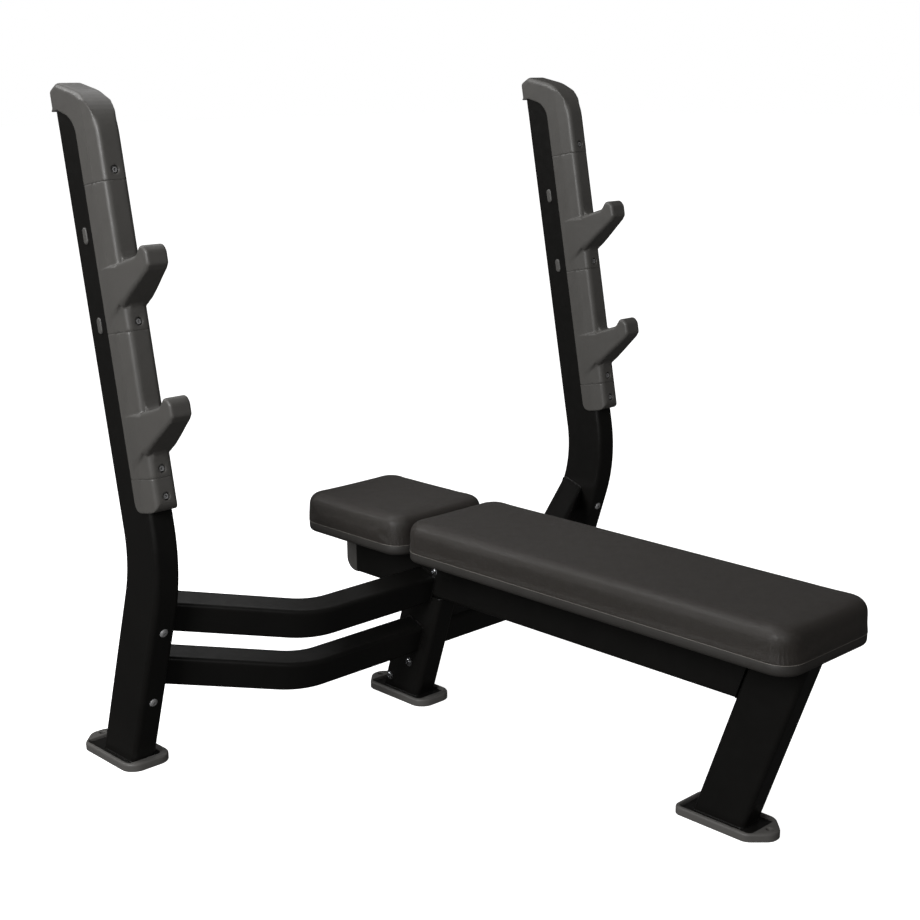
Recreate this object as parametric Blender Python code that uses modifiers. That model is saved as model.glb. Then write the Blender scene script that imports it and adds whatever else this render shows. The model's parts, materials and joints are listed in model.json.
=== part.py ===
"""Olympic flat bench press: bench, two bent uprights with bar hooks, and the frame that joins them.

Run with  blender --background --python part.py.  Metres, +Z up.  X runs across the bench, the foot
end points to -Y and the head end to +Y.  The floor is Z = 0 and the origin is at the middle of the
object's footprint.
"""
import math

import bmesh
import bpy
from mathutils import Matrix, Vector

# ---------------------------------------------------------------- driving dimensions
GAP = 0.0003                     # clearance kept between touching pieces
CUT_OVER = 0.02                  # how far a cutter stands clear of the face it opens
OVERRUN = 0.05                   # extra length of a tube before its ends are trimmed
REACH = 0.4                      # how far a cutting box extends past what it trims
COPLANAR = math.radians(0.05)    # faces closer than this to one plane are merged

# main tube: 2 x 4 in flat-sided steel, used for the uprights, legs and beam
TUBE_WIDTH = 0.0508
TUBE_DEPTH = 0.1016
TUBE_CORNER = 0.009
TUBE_WALL = 0.003

# cross tube: 2 x 2.5 in steel
CROSS_WIDTH = 0.0508
CROSS_HEIGHT = 0.0635
CROSS_CORNER = 0.008

# uprights: foot leans forward to a bend, then the top leans back over the lifter's head
UPRIGHT_X = 0.592
UPRIGHT_BASE_Y = 0.524
LOWER_LEAN = math.radians(18.4)
BEND_HEIGHT = 0.4067
BEND_RADIUS = 0.30
UPPER_LEAN = math.radians(10.1)
UPRIGHT_TOP = 1.211

# moulded covers on the front of the uprights, placed by their distance above the bend
COVER_HALF_WIDTH = 0.0285        # beside the tube; ahead of the fold the sides taper in
COVER_FOLD = 0.024
COVER_FOLD_RADIUS = 0.060
COVER_NOSE = 0.008               # front face ahead of the datum that hooks and wraps are measured from
COVER_NOSE_HALF = 0.022
COVER_FRONT = 0.0164             # datum ahead of the tube's front
COVER_WRAP = 0.0555              # how far the sides wrap back from the datum
COVER_CORNER = 0.010
COVER_END = 0.107
COVER_SEAM_LOW = 0.167
COVER_PITCH = 0.258              # height of one hook module
COVER_EDGE = 0.006               # rounding of the top cap's edges
CAP_SKIRT = 0.796                # lower edge of the cap's sides behind the skirts
CAP_REAR_LOW = 0.8195
CAP_REAR_TOP = 0.853
CAP_PEAK = 0.8636
CAP_FRONT_TOP = 0.817
CAP_REAR_WALL = 0.008
CAP_BROW = 0.085                 # rounding of the cap from its front over its top
CAP_SKIRT_TURN = 0.045

# bar hooks, moulded on the covers round a steel core
HOOK_ROOT = 0.0393               # underside of the hook above the module's lower seam
HOOK_DEPTH = 0.097               # reach of the horn ahead of the datum
HOOK_BACK = 0.045                # where the hook's cheeks run out into the cover's sides
HOOK_CHEEK = 0.030               # half width at the datum, where the cheeks are widest
HOOK_TIP_HALF_WIDTH = 0.0215
HOOK_EDGE = 0.006
CORE_HALF = 0.006                # half thickness of the steel core

# screws in the covers, each sunk in a counterbore above its cover's lower edge
SCREW_INSET = 0.0155
CAP_SCREW_INSET = 0.0175
END_SCREW_INSET = 0.0265
SCREW_HEAD_RADIUS = 0.005
SCREW_HEAD_HEIGHT = 0.005
SCREW_SHANK_RADIUS = 0.0026
SCREW_SOCKET_RADIUS = 0.0027
SCREW_SOCKET_FLOOR = 0.0028
COUNTERBORE_RADIUS = 0.0072
COUNTERBORE_DEPTH = 0.008
FORWARD = (math.pi / 2, 0.0, 0.0)     # turns a part's local Z to the cover's front

# slots through the upright's sides, above the bend and behind the cover's front
SLOT_STATIONS = (0.4416, 0.5989)
SLOT_BACK = 0.080
SLOT_WIDTH = 0.011
SLOT_LENGTH = 0.027
PLUG_LIP = 0.0015                # how far the plug's flange laps over the slot's edge
PLUG_STANDOUT = 0.0022           # flange height above the tube's side

# domed plugs on the front of the upright's lower run
FRONT_PLUG_RADIUS = 0.008
FRONT_PLUG_FLATNESS = 0.45
FRONT_PLUG_HEIGHTS = (0.139, 0.288)

# round-head bolts on the sides of the rear leg and the beam: (y, z)
REAR_LEG_BOLTS = ((0.348, 0.082), (0.409, 0.036))
BEAM_BOLT = (0.266, 0.298)
BOLT_RADIUS = 0.0085
BOLT_HEIGHT = 0.0055
BOLT_EDGE = 0.002
BOLT_SOCKET_RADIUS = 0.003
BOLT_SOCKET_FLOOR = 0.003

# bench
BEAM_BOTTOM = 0.2409
BEAM_REAR = 0.508
BEAM_CAP_LENGTH = 0.035
SPIGOT_LENGTH = 0.015            # the end cap's spigot inside the beam
SPIGOT_ROOT = 0.005              # how far the spigot runs into the cap
SPIGOT_FIT = 0.0005              # clearance all round it
SPIGOT_EDGE = 0.006
REAR_LEG_BASE_Y = 0.3831
FRONT_LEG_BASE_Y = -0.4387
FRONT_LEG_LEAN = math.radians(19.5)

# cross tubes leave the rear leg square, then bend back to the uprights
CROSS_BEND_X = 0.318
CROSS_SWEEP = math.radians(31.2)
CROSS_BEND_RADIUS = 0.16
UPPER_CROSS_Z = 0.264
LOWER_CROSS_Z = 0.1485

# feet: each is a tray for the base plate, with a tab at one end that takes an anchor bolt
FOOT_HEIGHT = 0.0155
FOOT_FLOOR = 0.0027
TAB_TURN = 0.026                 # rounding of the tab's cut corners
FOOT_EDGE = 0.003
TAB_LENGTH = 0.029
TAB_CUT = 0.034                  # corners cut off the tab at 45 degrees
TRAY_CORNER = 0.009
PLATE_TOP = 0.010
ANCHOR_RADIUS = 0.0055
ANCHOR_INSET = 0.0165            # anchor hole from the tab's end
UPRIGHT_FOOT_X = (0.5385, 0.637)
UPRIGHT_TRAY_X = (0.556, 0.629)
LEG_FOOT_X = (-0.045, 0.045)
LEG_TRAY_X = (-0.037, 0.037)
UPRIGHT_FOOT_Y = (0.447, 0.642)
REAR_FOOT_Y = (0.290, 0.485)
FRONT_FOOT_Y = (-0.359, -0.5495)      # plain end first, then the tab's end
TOE = (0.0175, 0.018, 0.028)          # plain end in front of a leg: solid length, corner cut, rounding
HEEL = (0.008, 0.010, 0.016)          # plain end behind the front leg

# pads
PAD_HALF_WIDTH = 0.127
PAD_UNDERSIDE = 0.3471
PAD_SEAM = 0.368
PAD_TOP = 0.427
PAD_CORNER = 0.0415
PAD_EDGE = 0.022
MAIN_PAD_Y = (-0.642, 0.2518)
HEAD_PAD_Y = (0.2622, 0.5632)
SHELL_WALL = 0.003
SHELL_EDGE = 0.009               # rounding of the shell's lower edge
SHELL_STEP = 0.001               # how far the shell stands in from the cushion's side
BOARD_INSET = 0.016
BOARD_THICKNESS = 0.012
BRACKET_THICKNESS = 0.004
BRACKET_STATIONS = (("front", -0.36), ("rear", 0.10), ("head", 0.41))

BEAM_TOP = BEAM_BOTTOM + TUBE_DEPTH
SIDES = (("left", -1.0), ("right", 1.0))

# ---------------------------------------------------------------- scene
for existing in list(bpy.data.objects):
    bpy.data.objects.remove(existing)

PARTS = bpy.data.collections.new("olympic_bench_press")
CUTTERS = bpy.data.collections.new("cutters")
bpy.context.scene.collection.children.link(PARTS)
bpy.context.scene.collection.children.link(CUTTERS)


def make_material(name, colour, roughness, metallic=0.0):
    material = bpy.data.materials.new(name)
    material.use_nodes = True
    shader = material.node_tree.nodes["Principled BSDF"]
    shader.inputs["Base Color"].default_value = (*colour, 1.0)
    shader.inputs["Roughness"].default_value = roughness
    shader.inputs["Metallic"].default_value = metallic
    return material


# ---------------------------------------------------------------- modelling helpers
def rounded_outline(corners, steps=5):
    """Turn corners (x, y, radius) into outline points, with an arc at each rounded corner."""
    points = []
    for index, (x, y, radius) in enumerate(corners):
        corner = Vector((x, y))
        if radius <= 0.0:
            points.append(corner)
            continue
        before = Vector(corners[index - 1][:2])
        after = Vector(corners[(index + 1) % len(corners)][:2])
        to_before = (before - corner).normalized()
        to_after = (after - corner).normalized()
        half_angle = to_before.angle(to_after) / 2.0
        centre = corner + (to_before + to_after).normalized() * (radius / math.sin(half_angle))
        tangent = radius / math.tan(half_angle)
        start = corner + to_before * tangent - centre
        end = corner + to_after * tangent - centre
        sweep = math.atan2(start.x * end.y - start.y * end.x, start.dot(end))
        for step in range(steps + 1):
            turn = Matrix.Rotation(sweep * step / steps, 2)
            points.append(centre + turn @ start)
    return points


def offset_outline(corners, distance):
    """Move every side of an outline outwards, and keep its rounded corners concentric."""
    points = [Vector(corner[:2]) for corner in corners]
    area = sum(a.x * b.y - b.x * a.y for a, b in zip(points, points[1:] + points[:1]))
    outward = math.copysign(distance, area)
    moved = []
    for index, (point, (_, _, radius)) in enumerate(zip(points, corners)):
        arriving = (point - points[index - 1]).normalized()
        leaving = (points[(index + 1) % len(points)] - point).normalized()
        normal_in = Vector((arriving.y, -arriving.x))
        normal_out = Vector((leaving.y, -leaving.x))
        shift = (normal_in + normal_out) / (1.0 + normal_in.dot(normal_out)) * outward
        turns_outward = (arriving.x * leaving.y - arriving.y * leaving.x) * area > 0.0
        change = distance if turns_outward else -distance
        moved.append((point.x + shift.x, point.y + shift.y, radius + change if radius else 0.0))
    return moved


def mesh_object(name, mesh, collection=None):
    thing = bpy.data.objects.new(name, mesh)
    (collection or PARTS).objects.link(thing)
    return thing


def mesh_from_curve(curve):
    """Make a welded, outward-facing mesh from a curve that is about to be cut or joined."""
    holder = bpy.data.objects.new("outline", curve)
    CUTTERS.objects.link(holder)
    graph = bpy.context.evaluated_depsgraph_get()
    mesh = bpy.data.meshes.new_from_object(holder.evaluated_get(graph))
    bpy.data.objects.remove(holder)
    solid = bmesh.new()
    solid.from_mesh(mesh)
    bmesh.ops.remove_doubles(solid, verts=solid.verts, dist=0.00001)
    bmesh.ops.dissolve_limit(solid, angle_limit=COPLANAR, verts=solid.verts, edges=solid.edges)
    bmesh.ops.recalc_face_normals(solid, faces=solid.faces)
    solid.to_mesh(mesh)
    solid.free()
    return mesh


def add_spline(curve, points, cyclic):
    spline = curve.splines.new("POLY")
    spline.points.add(len(points) - 1)
    for target, point in zip(spline.points, points):
        place = Vector(point).to_3d()
        target.co = (place.x, place.y, place.z, 1.0)
    spline.use_cyclic_u = cyclic
    return spline


def prism(name, corners, low, high, along="Z", steps=5, collection=None):
    """Extrude a rounded outline.

    Along Z the outline is a plan view (x, y); along X it is a side view (y, z).
    """
    curve = bpy.data.curves.new(name, "CURVE")
    curve.dimensions = "2D"
    curve.fill_mode = "BOTH"
    curve.extrude = (high - low) / 2.0
    add_spline(curve, rounded_outline(corners, steps), cyclic=True)
    mesh = mesh_from_curve(curve)
    mesh.transform(Matrix.Translation((0.0, 0.0, (high + low) / 2.0)))
    if along == "X":
        mesh.transform(Matrix(((0, 0, 1, 0), (1, 0, 0, 0), (0, 1, 0, 0), (0, 0, 0, 1))))
    return mesh_object(name, mesh, collection)


def rectangle(x_low, x_high, y_low, y_high, radius=0.0):
    return [(x_low, y_low, radius), (x_high, y_low, radius),
            (x_high, y_high, radius), (x_low, y_high, radius)]


def box(name, low, high, radius=0.0, collection=None):
    return prism(name, rectangle(low[0], high[0], low[1], high[1], radius), low[2], high[2],
                 collection=collection)


def cylinder(name, radius, low, high, sides=32, collection=None):
    """Make a cylinder about the local Z axis."""
    mesh = bpy.data.meshes.new(name)
    solid = bmesh.new()
    bmesh.ops.create_cone(solid, cap_ends=True, segments=sides, radius1=radius, radius2=radius,
                          depth=high - low, matrix=Matrix.Translation((0.0, 0.0, (high + low) / 2.0)))
    solid.to_mesh(mesh)
    solid.free()
    return mesh_object(name, mesh, collection)


def swept(name, path, width, depth, corner, steps=3):
    """Sweep a rounded rectangle along a path: its depth lies in the path's own plane."""
    profile_curve = bpy.data.curves.new(name + "_profile", "CURVE")
    profile_curve.dimensions = "2D"
    outline = rounded_outline(rectangle(-width / 2, width / 2, -depth / 2, depth / 2, corner), steps)
    add_spline(profile_curve, outline, cyclic=True)
    profile = bpy.data.objects.new(name + "_profile", profile_curve)
    CUTTERS.objects.link(profile)
    curve = bpy.data.curves.new(name, "CURVE")
    curve.dimensions = "3D"
    curve.twist_mode = "MINIMUM"
    curve.bevel_mode = "OBJECT"
    curve.bevel_object = profile
    curve.use_fill_caps = True
    add_spline(curve, path, cyclic=False)
    mesh = mesh_from_curve(curve)
    bpy.data.objects.remove(profile)
    return mesh


def bent_path(start, corner, end, radius, steps=10):
    """Follow two straight runs joined by an arc."""
    start, corner, end = Vector(start), Vector(corner), Vector(end)
    to_start = (start - corner).normalized()
    to_end = (end - corner).normalized()
    half_angle = to_start.angle(to_end) / 2.0
    tangent = radius / math.tan(half_angle)
    centre = corner + (to_start + to_end).normalized() * (radius / math.sin(half_angle))
    first = corner + to_start * tangent - centre
    last = corner + to_end * tangent - centre
    axis = first.cross(last).normalized()
    turn = first.angle(last)
    arc = [centre + Matrix.Rotation(turn * step / steps, 3, axis) @ first for step in range(steps + 1)]
    return [start] + arc + [end]


def extend(path, length):
    """Lengthen a path at both ends, so that a bore made from it leaves the tube open."""
    first = path[0] + (path[0] - path[1]).normalized() * length
    last = path[-1] + (path[-1] - path[-2]).normalized() * length
    return [first] + path[1:-1] + [last]


def boolean(target, cutter, operation="DIFFERENCE"):
    change = target.modifiers.new(operation.lower(), "BOOLEAN")
    change.operation = operation
    change.solver = "EXACT"
    change.object = cutter
    if cutter.name not in CUTTERS.objects:
        for holder in list(cutter.users_collection):
            holder.objects.unlink(cutter)
        CUTTERS.objects.link(cutter)
    cutter.hide_render = True
    cutter.display_type = "WIRE"


def bevel(target, width, segments=2, angle=35.0):
    change = target.modifiers.new("bevel", "BEVEL")
    change.width = width
    change.segments = segments
    change.limit_method = "ANGLE"
    change.angle_limit = math.radians(angle)
    change.use_clamp_overlap = False
    return change


def bevel_only(target, chosen):
    """Limit a bevel to sharp edges whose two ends are both in the chosen region."""
    mesh = target.data
    solid = bmesh.new()
    solid.from_mesh(mesh)
    sharp = {tuple(sorted(vertex.index for vertex in edge.verts)) for edge in solid.edges
             if edge.calc_face_angle(0.0) > math.radians(35.0)}
    solid.free()
    weights = mesh.attributes.new("bevel_weight_edge", "FLOAT", "EDGE")
    for edge in mesh.edges:
        ends = [mesh.vertices[index].co for index in edge.vertices]
        if tuple(sorted(edge.vertices)) in sharp and all(chosen(end) for end in ends):
            weights.data[edge.index].value = 1.0
    target.modifiers["bevel"].limit_method = "WEIGHT"


def finish(thing, material):
    thing.data.materials.clear()
    thing.data.materials.append(material)
    thing.data.shade_smooth()
    thing.data.set_sharp_from_angle(angle=math.radians(30.0))
    return thing


def put(thing, parent=None, location=(0.0, 0.0, 0.0), rotation=(0.0, 0.0, 0.0)):
    thing.parent = parent
    thing.location = location
    thing.rotation_euler = rotation
    return thing


def empty(name, location, rotation=(0.0, 0.0, 0.0)):
    holder = bpy.data.objects.new(name, None)
    PARTS.objects.link(holder)
    holder.location = location
    holder.rotation_euler = rotation
    return holder


# ---------------------------------------------------------------- materials
PAINTED_STEEL = make_material("powder_coated_steel", (0.012, 0.012, 0.012), 0.38, 0.0)
COVER_PLASTIC = make_material("moulded_cover", (0.075, 0.072, 0.068), 0.45)
FOOT_PLASTIC = make_material("foot_moulding", (0.095, 0.093, 0.090), 0.5)
PLUG_PLASTIC = make_material("slot_plug", (0.25, 0.25, 0.24), 0.5)
VINYL = make_material("pad_vinyl", (0.020, 0.017, 0.015), 0.5)
SHELL_PLASTIC = make_material("pad_shell", (0.022, 0.020, 0.018), 0.6)
PLYWOOD = make_material("pad_board", (0.45, 0.32, 0.19), 0.8)
BARE_STEEL = make_material("hook_steel", (0.35, 0.35, 0.36), 0.4, 1.0)
ZINC = make_material("zinc_fastener", (0.72, 0.73, 0.75), 0.25, 1.0)


# ---------------------------------------------------------------- tubes
def hollow_tube(name, path, width, depth, corner):
    tube = mesh_object(name, swept(name, path, width, depth, corner))
    bore_mesh = swept(name + "_bore", extend(path, CUT_OVER), width - 2 * TUBE_WALL, depth - 2 * TUBE_WALL,
                      corner - TUBE_WALL, steps=2)
    boolean(tube, mesh_object(name + "_bore", bore_mesh, CUTTERS))
    return finish(tube, PAINTED_STEEL)


def trim(tube, name, low, high):
    boolean(tube, box(tube.name + name, low, high, collection=CUTTERS))


def lean_point(base_y, lean, height):
    """Return the point of a leaning leg's centre line at a height."""
    return (base_y - math.tan(lean) * height, height)


BEND_Y = lean_point(UPRIGHT_BASE_Y, LOWER_LEAN, BEND_HEIGHT)[0]
TUBE_BEHIND_COVER = COVER_FRONT + TUBE_DEPTH / 2


def make_upright(side, sign):
    x = sign * UPRIGHT_X
    bottom = lean_point(UPRIGHT_BASE_Y, LOWER_LEAN, -OVERRUN)
    top_height = UPRIGHT_TOP + OVERRUN
    top_y = BEND_Y + math.tan(UPPER_LEAN) * (top_height - BEND_HEIGHT)
    path = bent_path((x, *bottom), (x, BEND_Y, BEND_HEIGHT), (x, top_y, top_height), BEND_RADIUS)
    tube = hollow_tube(side + "_upright_tube", path, TUBE_WIDTH, TUBE_DEPTH, TUBE_CORNER)
    middle = (x - REACH, x + REACH)
    trim(tube, "_foot_trim", (middle[0], 0.0, -REACH), (middle[1], 1.0, PLATE_TOP + GAP))
    trim(tube, "_top_trim", (middle[0], 0.0, UPRIGHT_TOP), (middle[1], 1.0, UPRIGHT_TOP + REACH))
    return tube


def make_leg(name, base_y, lean, top):
    bottom = lean_point(base_y, lean, -OVERRUN)
    upper = lean_point(base_y, lean, top + OVERRUN)
    path = [Vector((0.0, *bottom)), Vector((0.0, *upper))]
    tube = hollow_tube(name, path, TUBE_WIDTH, TUBE_DEPTH, TUBE_CORNER)
    trim(tube, "_foot_trim", (-REACH, -1.0, -REACH), (REACH, 1.0, PLATE_TOP + GAP))
    trim(tube, "_top_trim", (-REACH, -1.0, top), (REACH, 1.0, top + REACH))
    return tube


def make_beam():
    front_y, _ = lean_point(FRONT_LEG_BASE_Y, FRONT_LEG_LEAN, BEAM_BOTTOM + TUBE_DEPTH / 2)
    middle_z = BEAM_BOTTOM + TUBE_DEPTH / 2
    path = [Vector((0.0, front_y, middle_z)), Vector((0.0, BEAM_REAR, middle_z))]
    beam = hollow_tube("main_beam", path, TUBE_WIDTH, TUBE_DEPTH, TUBE_CORNER)
    half_leg = TUBE_DEPTH / 2 / math.cos(FRONT_LEG_LEAN) + GAP
    lower = lean_point(FRONT_LEG_BASE_Y + half_leg, FRONT_LEG_LEAN, 0.0)
    upper = lean_point(FRONT_LEG_BASE_Y + half_leg, FRONT_LEG_LEAN, 0.6)
    wedge = prism("main_beam_mitre", [(*lower, 0.0), (*upper, 0.0), (upper[0] - REACH, upper[1], 0.0),
                                      (lower[0] - REACH, lower[1], 0.0)],
                  -REACH, REACH, along="X", collection=CUTTERS)
    boolean(beam, wedge)
    return beam


def make_cross_tube(side, sign, level, height):
    """Run from the rear leg's side face out along X, then bend back to the upright."""
    leg_y, _ = lean_point(REAR_LEG_BASE_Y, LOWER_LEAN, height)
    back = Vector((0.0, math.cos(LOWER_LEAN), math.sin(LOWER_LEAN)))
    outward = Vector((sign, 0.0, 0.0))
    corner = Vector((sign * CROSS_BEND_X, leg_y, height))
    run = outward * math.cos(CROSS_SWEEP) + back * math.sin(CROSS_SWEEP)
    start = Vector((sign * TUBE_WIDTH * 0.3, leg_y, height))
    inner_face = UPRIGHT_X - TUBE_WIDTH / 2 - GAP
    length = (inner_face + 0.05 - CROSS_BEND_X) / math.cos(CROSS_SWEEP)
    path = bent_path(start, corner, corner + run * length, CROSS_BEND_RADIUS, steps=8)
    name = side + "_" + level + "_cross_tube"
    outer = cross_sweep(name, path, CROSS_WIDTH, CROSS_HEIGHT, CROSS_CORNER)
    tube = mesh_object(name, outer)
    bore = cross_sweep(name + "_bore", extend(path, CUT_OVER), CROSS_WIDTH - 2 * TUBE_WALL,
                       CROSS_HEIGHT - 2 * TUBE_WALL, CROSS_CORNER - TUBE_WALL)
    boolean(tube, mesh_object(name + "_bore", bore, CUTTERS))
    finish(tube, PAINTED_STEEL)
    near, far = TUBE_WIDTH / 2 + GAP, inner_face
    inner_x = sorted((0.0 - sign * REACH, sign * near))
    outer_x = sorted((sign * far, sign * (far + REACH)))
    trim(tube, "_inner_trim", (inner_x[0], -1.0, -1.0), (inner_x[1], 1.0, 1.0))
    trim(tube, "_outer_trim", (outer_x[0], -1.0, -1.0), (outer_x[1], 1.0, 1.0))
    return tube


def cross_sweep(name, path, width, height, corner):
    """Sweep in the tilted plane of the cross tube by sweeping flat and tilting the mesh."""
    pivot = path[0].copy()
    tilt = Matrix.Rotation(LOWER_LEAN, 4, "X")
    flat = [tilt.inverted() @ (point - pivot) for point in path]
    mesh = swept(name, flat, width, height, corner)
    mesh.transform(Matrix.Translation(pivot) @ tilt)
    return mesh


# ---------------------------------------------------------------- feet and base plates
def foot_plan(x_range, plain, tab, plain_cut, plain_turn):
    """Plan of a foot with all four corners cut off at 45 degrees and rounded."""
    inward = math.copysign(1.0, tab - plain)
    near, far = plain + inward * plain_cut, tab - inward * TAB_CUT
    x_low, x_high = x_range
    return [(x_low + plain_cut, plain, plain_turn), (x_high - plain_cut, plain, plain_turn),
            (x_high, near, plain_turn), (x_high, far, TAB_TURN),
            (x_high - TAB_CUT, tab, TAB_TURN), (x_low + TAB_CUT, tab, TAB_TURN),
            (x_low, far, TAB_TURN), (x_low, near, plain_turn)]


def make_foot(name, x_range, tray_x, y_range, plain_end):
    """Make one moulded foot and the steel base plate that lies in its tray."""
    plain, tab = y_range
    plain_length, plain_cut, plain_turn = plain_end
    inward = math.copysign(1.0, tab - plain)
    plan = foot_plan(x_range, plain, tab, plain_cut, plain_turn)
    foot = prism(name + "_foot", plan, 0.0, FOOT_HEIGHT, steps=4)
    bevel(foot, FOOT_EDGE)
    tray_y = sorted((plain + inward * plain_length, tab - inward * TAB_LENGTH))
    tray = prism(name + "_tray", rectangle(*tray_x, *tray_y, TRAY_CORNER), FOOT_FLOOR, FOOT_HEIGHT + CUT_OVER,
                 collection=CUTTERS)
    boolean(foot, tray)
    hole = cylinder(name + "_anchor_hole", ANCHOR_RADIUS, -CUT_OVER, FOOT_HEIGHT + CUT_OVER, 24, CUTTERS)
    put(hole, location=(sum(x_range) / 2, tab - inward * ANCHOR_INSET, 0.0))
    boolean(foot, hole)
    finish(foot, FOOT_PLASTIC)
    plate_plan = rectangle(tray_x[0] + GAP, tray_x[1] - GAP, tray_y[0] + GAP, tray_y[1] - GAP,
                           TRAY_CORNER - GAP)
    plate = prism(name + "_base_plate", plate_plan, FOOT_FLOOR + GAP, PLATE_TOP)
    finish(plate, PAINTED_STEEL)


# ---------------------------------------------------------------- covers and hooks
def upright_frame(side, sign):
    """Place an empty on the covers' datum at the bend: local Z runs up the upright, local Y back."""
    back = Vector((math.cos(UPPER_LEAN), -math.sin(UPPER_LEAN)))
    y, z = Vector((BEND_Y, BEND_HEIGHT)) - back * TUBE_BEHIND_COVER
    return empty(side + "_cover_frame", (sign * UPRIGHT_X, y, z), (-UPPER_LEAN, 0.0, 0.0))


def tube_channel(name, low, high):
    """Cut the channel that fits over the tube's front and sides."""
    half = TUBE_WIDTH / 2 + GAP
    corner = TUBE_CORNER
    plan = [(-half, COVER_FRONT - GAP, corner), (half, COVER_FRONT - GAP, corner),
            (half, 0.2, 0.0), (-half, 0.2, 0.0)]
    return prism(name + "_channel", plan, low, high, collection=CUTTERS)


def cover_half_width(y):
    """Half width of a cover: straight beside the tube, then tapering from the fold to the front face."""
    taper = (COVER_HALF_WIDTH - COVER_NOSE_HALF) / (COVER_FOLD + COVER_NOSE)
    return COVER_HALF_WIDTH - taper * max(COVER_FOLD - y, 0.0)


def cover_block(name, low, high):
    plan = [(-COVER_NOSE_HALF, -COVER_NOSE, COVER_CORNER), (COVER_NOSE_HALF, -COVER_NOSE, COVER_CORNER),
            (COVER_HALF_WIDTH, COVER_FOLD, COVER_FOLD_RADIUS), (COVER_HALF_WIDTH, COVER_WRAP, 0.0),
            (-COVER_HALF_WIDTH, COVER_WRAP, 0.0), (-COVER_HALF_WIDTH, COVER_FOLD, COVER_FOLD_RADIUS)]
    return prism(name, plan, low, high, steps=4)


def shape_sides(thing, fold, half_width):
    """Fold the sides of a prism of unit half width at one station, and set them by a width rule."""
    solid = bmesh.new()
    solid.from_mesh(thing.data)
    bmesh.ops.bisect_plane(solid, geom=solid.verts[:] + solid.edges[:] + solid.faces[:],
                           plane_co=(0.0, fold, 0.0), plane_no=(0.0, 1.0, 0.0))
    for vertex in solid.verts:
        vertex.co.x *= half_width(vertex.co.y)
    solid.to_mesh(thing.data)
    solid.free()


def make_cover_screw(name, cover, frame, station):
    """Sink a socket-head screw in a counterbore on the cover's front, and cut the hole it needs."""
    seat = COVER_NOSE - COUNTERBORE_DEPTH
    counterbore = cylinder(name + "_counterbore", COUNTERBORE_RADIUS, seat, CUT_OVER, 24, CUTTERS)
    shank_hole = cylinder(name + "_shank_hole", SCREW_SHANK_RADIUS + GAP, -COVER_FRONT - CUT_OVER,
                          CUT_OVER, 12, CUTTERS)
    for cutter in (counterbore, shank_hole):
        put(cutter, frame, (0.0, 0.0, station), FORWARD)
        boolean(cover, cutter)
    screw = cylinder(name, SCREW_HEAD_RADIUS, seat + GAP, seat + GAP + SCREW_HEAD_HEIGHT, 20)
    shank = cylinder(name + "_shank", SCREW_SHANK_RADIUS, -COVER_FRONT + 0.0006, seat + 0.002, 12, CUTTERS)
    socket = cylinder(name + "_socket", SCREW_SOCKET_RADIUS, seat + SCREW_SOCKET_FLOOR, CUT_OVER, 6, CUTTERS)
    put(screw, frame, (0.0, 0.0, station), FORWARD)
    put(shank, frame, (0.0, 0.0, station), FORWARD)
    put(socket, frame, (0.0, 0.0, station), FORWARD)
    boolean(screw, shank, "UNION")
    boolean(screw, socket)
    finish(screw, ZINC)


def hook_outline(root):
    """Side view (y, z) of the bar hook, from its root on the cover's front to the tip of its horn."""
    return [
        (HOOK_BACK, root - 0.028, 0.0),
        (-0.004, root + 0.0026, 0.0),
        (-0.088, root + 0.057, 0.012),
        (-HOOK_DEPTH, root + 0.066, 0.008),
        (-HOOK_DEPTH, root + 0.089, 0.009),
        (-0.0885, root + 0.1005, 0.007),
        (-0.078, root + 0.1005, 0.004),
        (-0.0655, root + 0.086, 0.011),
        (-0.012, root + 0.0786, 0.0),
        (HOOK_BACK, root + 0.0725, 0.0),
    ]


def cheek_half_width(y):
    """Half width of the hook: flush with the cover at the back, widest at the datum, then tapering."""
    if y > 0.0:
        return HOOK_CHEEK + (cover_half_width(HOOK_BACK) - HOOK_CHEEK) * y / HOOK_BACK
    return HOOK_CHEEK + (HOOK_TIP_HALF_WIDTH - HOOK_CHEEK) * (-y / HOOK_DEPTH)


def make_hook_cover(side, frame, level, low, high):
    """Make one hook module: a cover with a bar hook moulded round a steel core."""
    name = side + "_" + level + "_hook_cover"
    root = low + HOOK_ROOT
    cover = cover_block(name, low + GAP, high - GAP)
    put(cover, frame)
    hook = prism(name + "_hook", hook_outline(root), -1.0, 1.0, along="X", steps=4, collection=CUTTERS)
    shape_sides(hook, 0.0, cheek_half_width)
    bevel(hook, HOOK_EDGE, segments=3, angle=50.0)
    put(hook, frame)
    boolean(cover, hook, "UNION")
    channel = tube_channel(name, low - 0.02, high + 0.02)
    put(channel, frame)
    boolean(cover, channel)
    outline = core_outline(root)
    cavity = prism(name + "_core_cavity", offset_outline(outline, GAP), -CORE_HALF - GAP, CORE_HALF + GAP,
                   along="X", steps=3, collection=CUTTERS)
    put(cavity, frame)
    boolean(cover, cavity)
    core = prism(side + "_" + level + "_hook_core", outline, -CORE_HALF, CORE_HALF, along="X", steps=3)
    put(core, frame)
    finish(core, BARE_STEEL)
    make_cover_screw(side + "_" + level + "_hook_screw", cover, frame, low + SCREW_INSET)
    finish(cover, COVER_PLASTIC)


def core_outline(root):
    """Side view of the steel plate that stands on the tube inside the hook."""
    back = COVER_FRONT - GAP
    return [
        (back, root - 0.004, 0.0),
        (-0.020, root + 0.019, 0.0),
        (-0.084, root + 0.063, 0.004),
        (-0.0915, root + 0.071, 0.003),
        (-0.0915, root + 0.091, 0.003),
        (-0.0825, root + 0.091, 0.003),
        (-0.0690, root + 0.0785, 0.004),
        (back, root + 0.068, 0.0),
    ]


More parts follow.
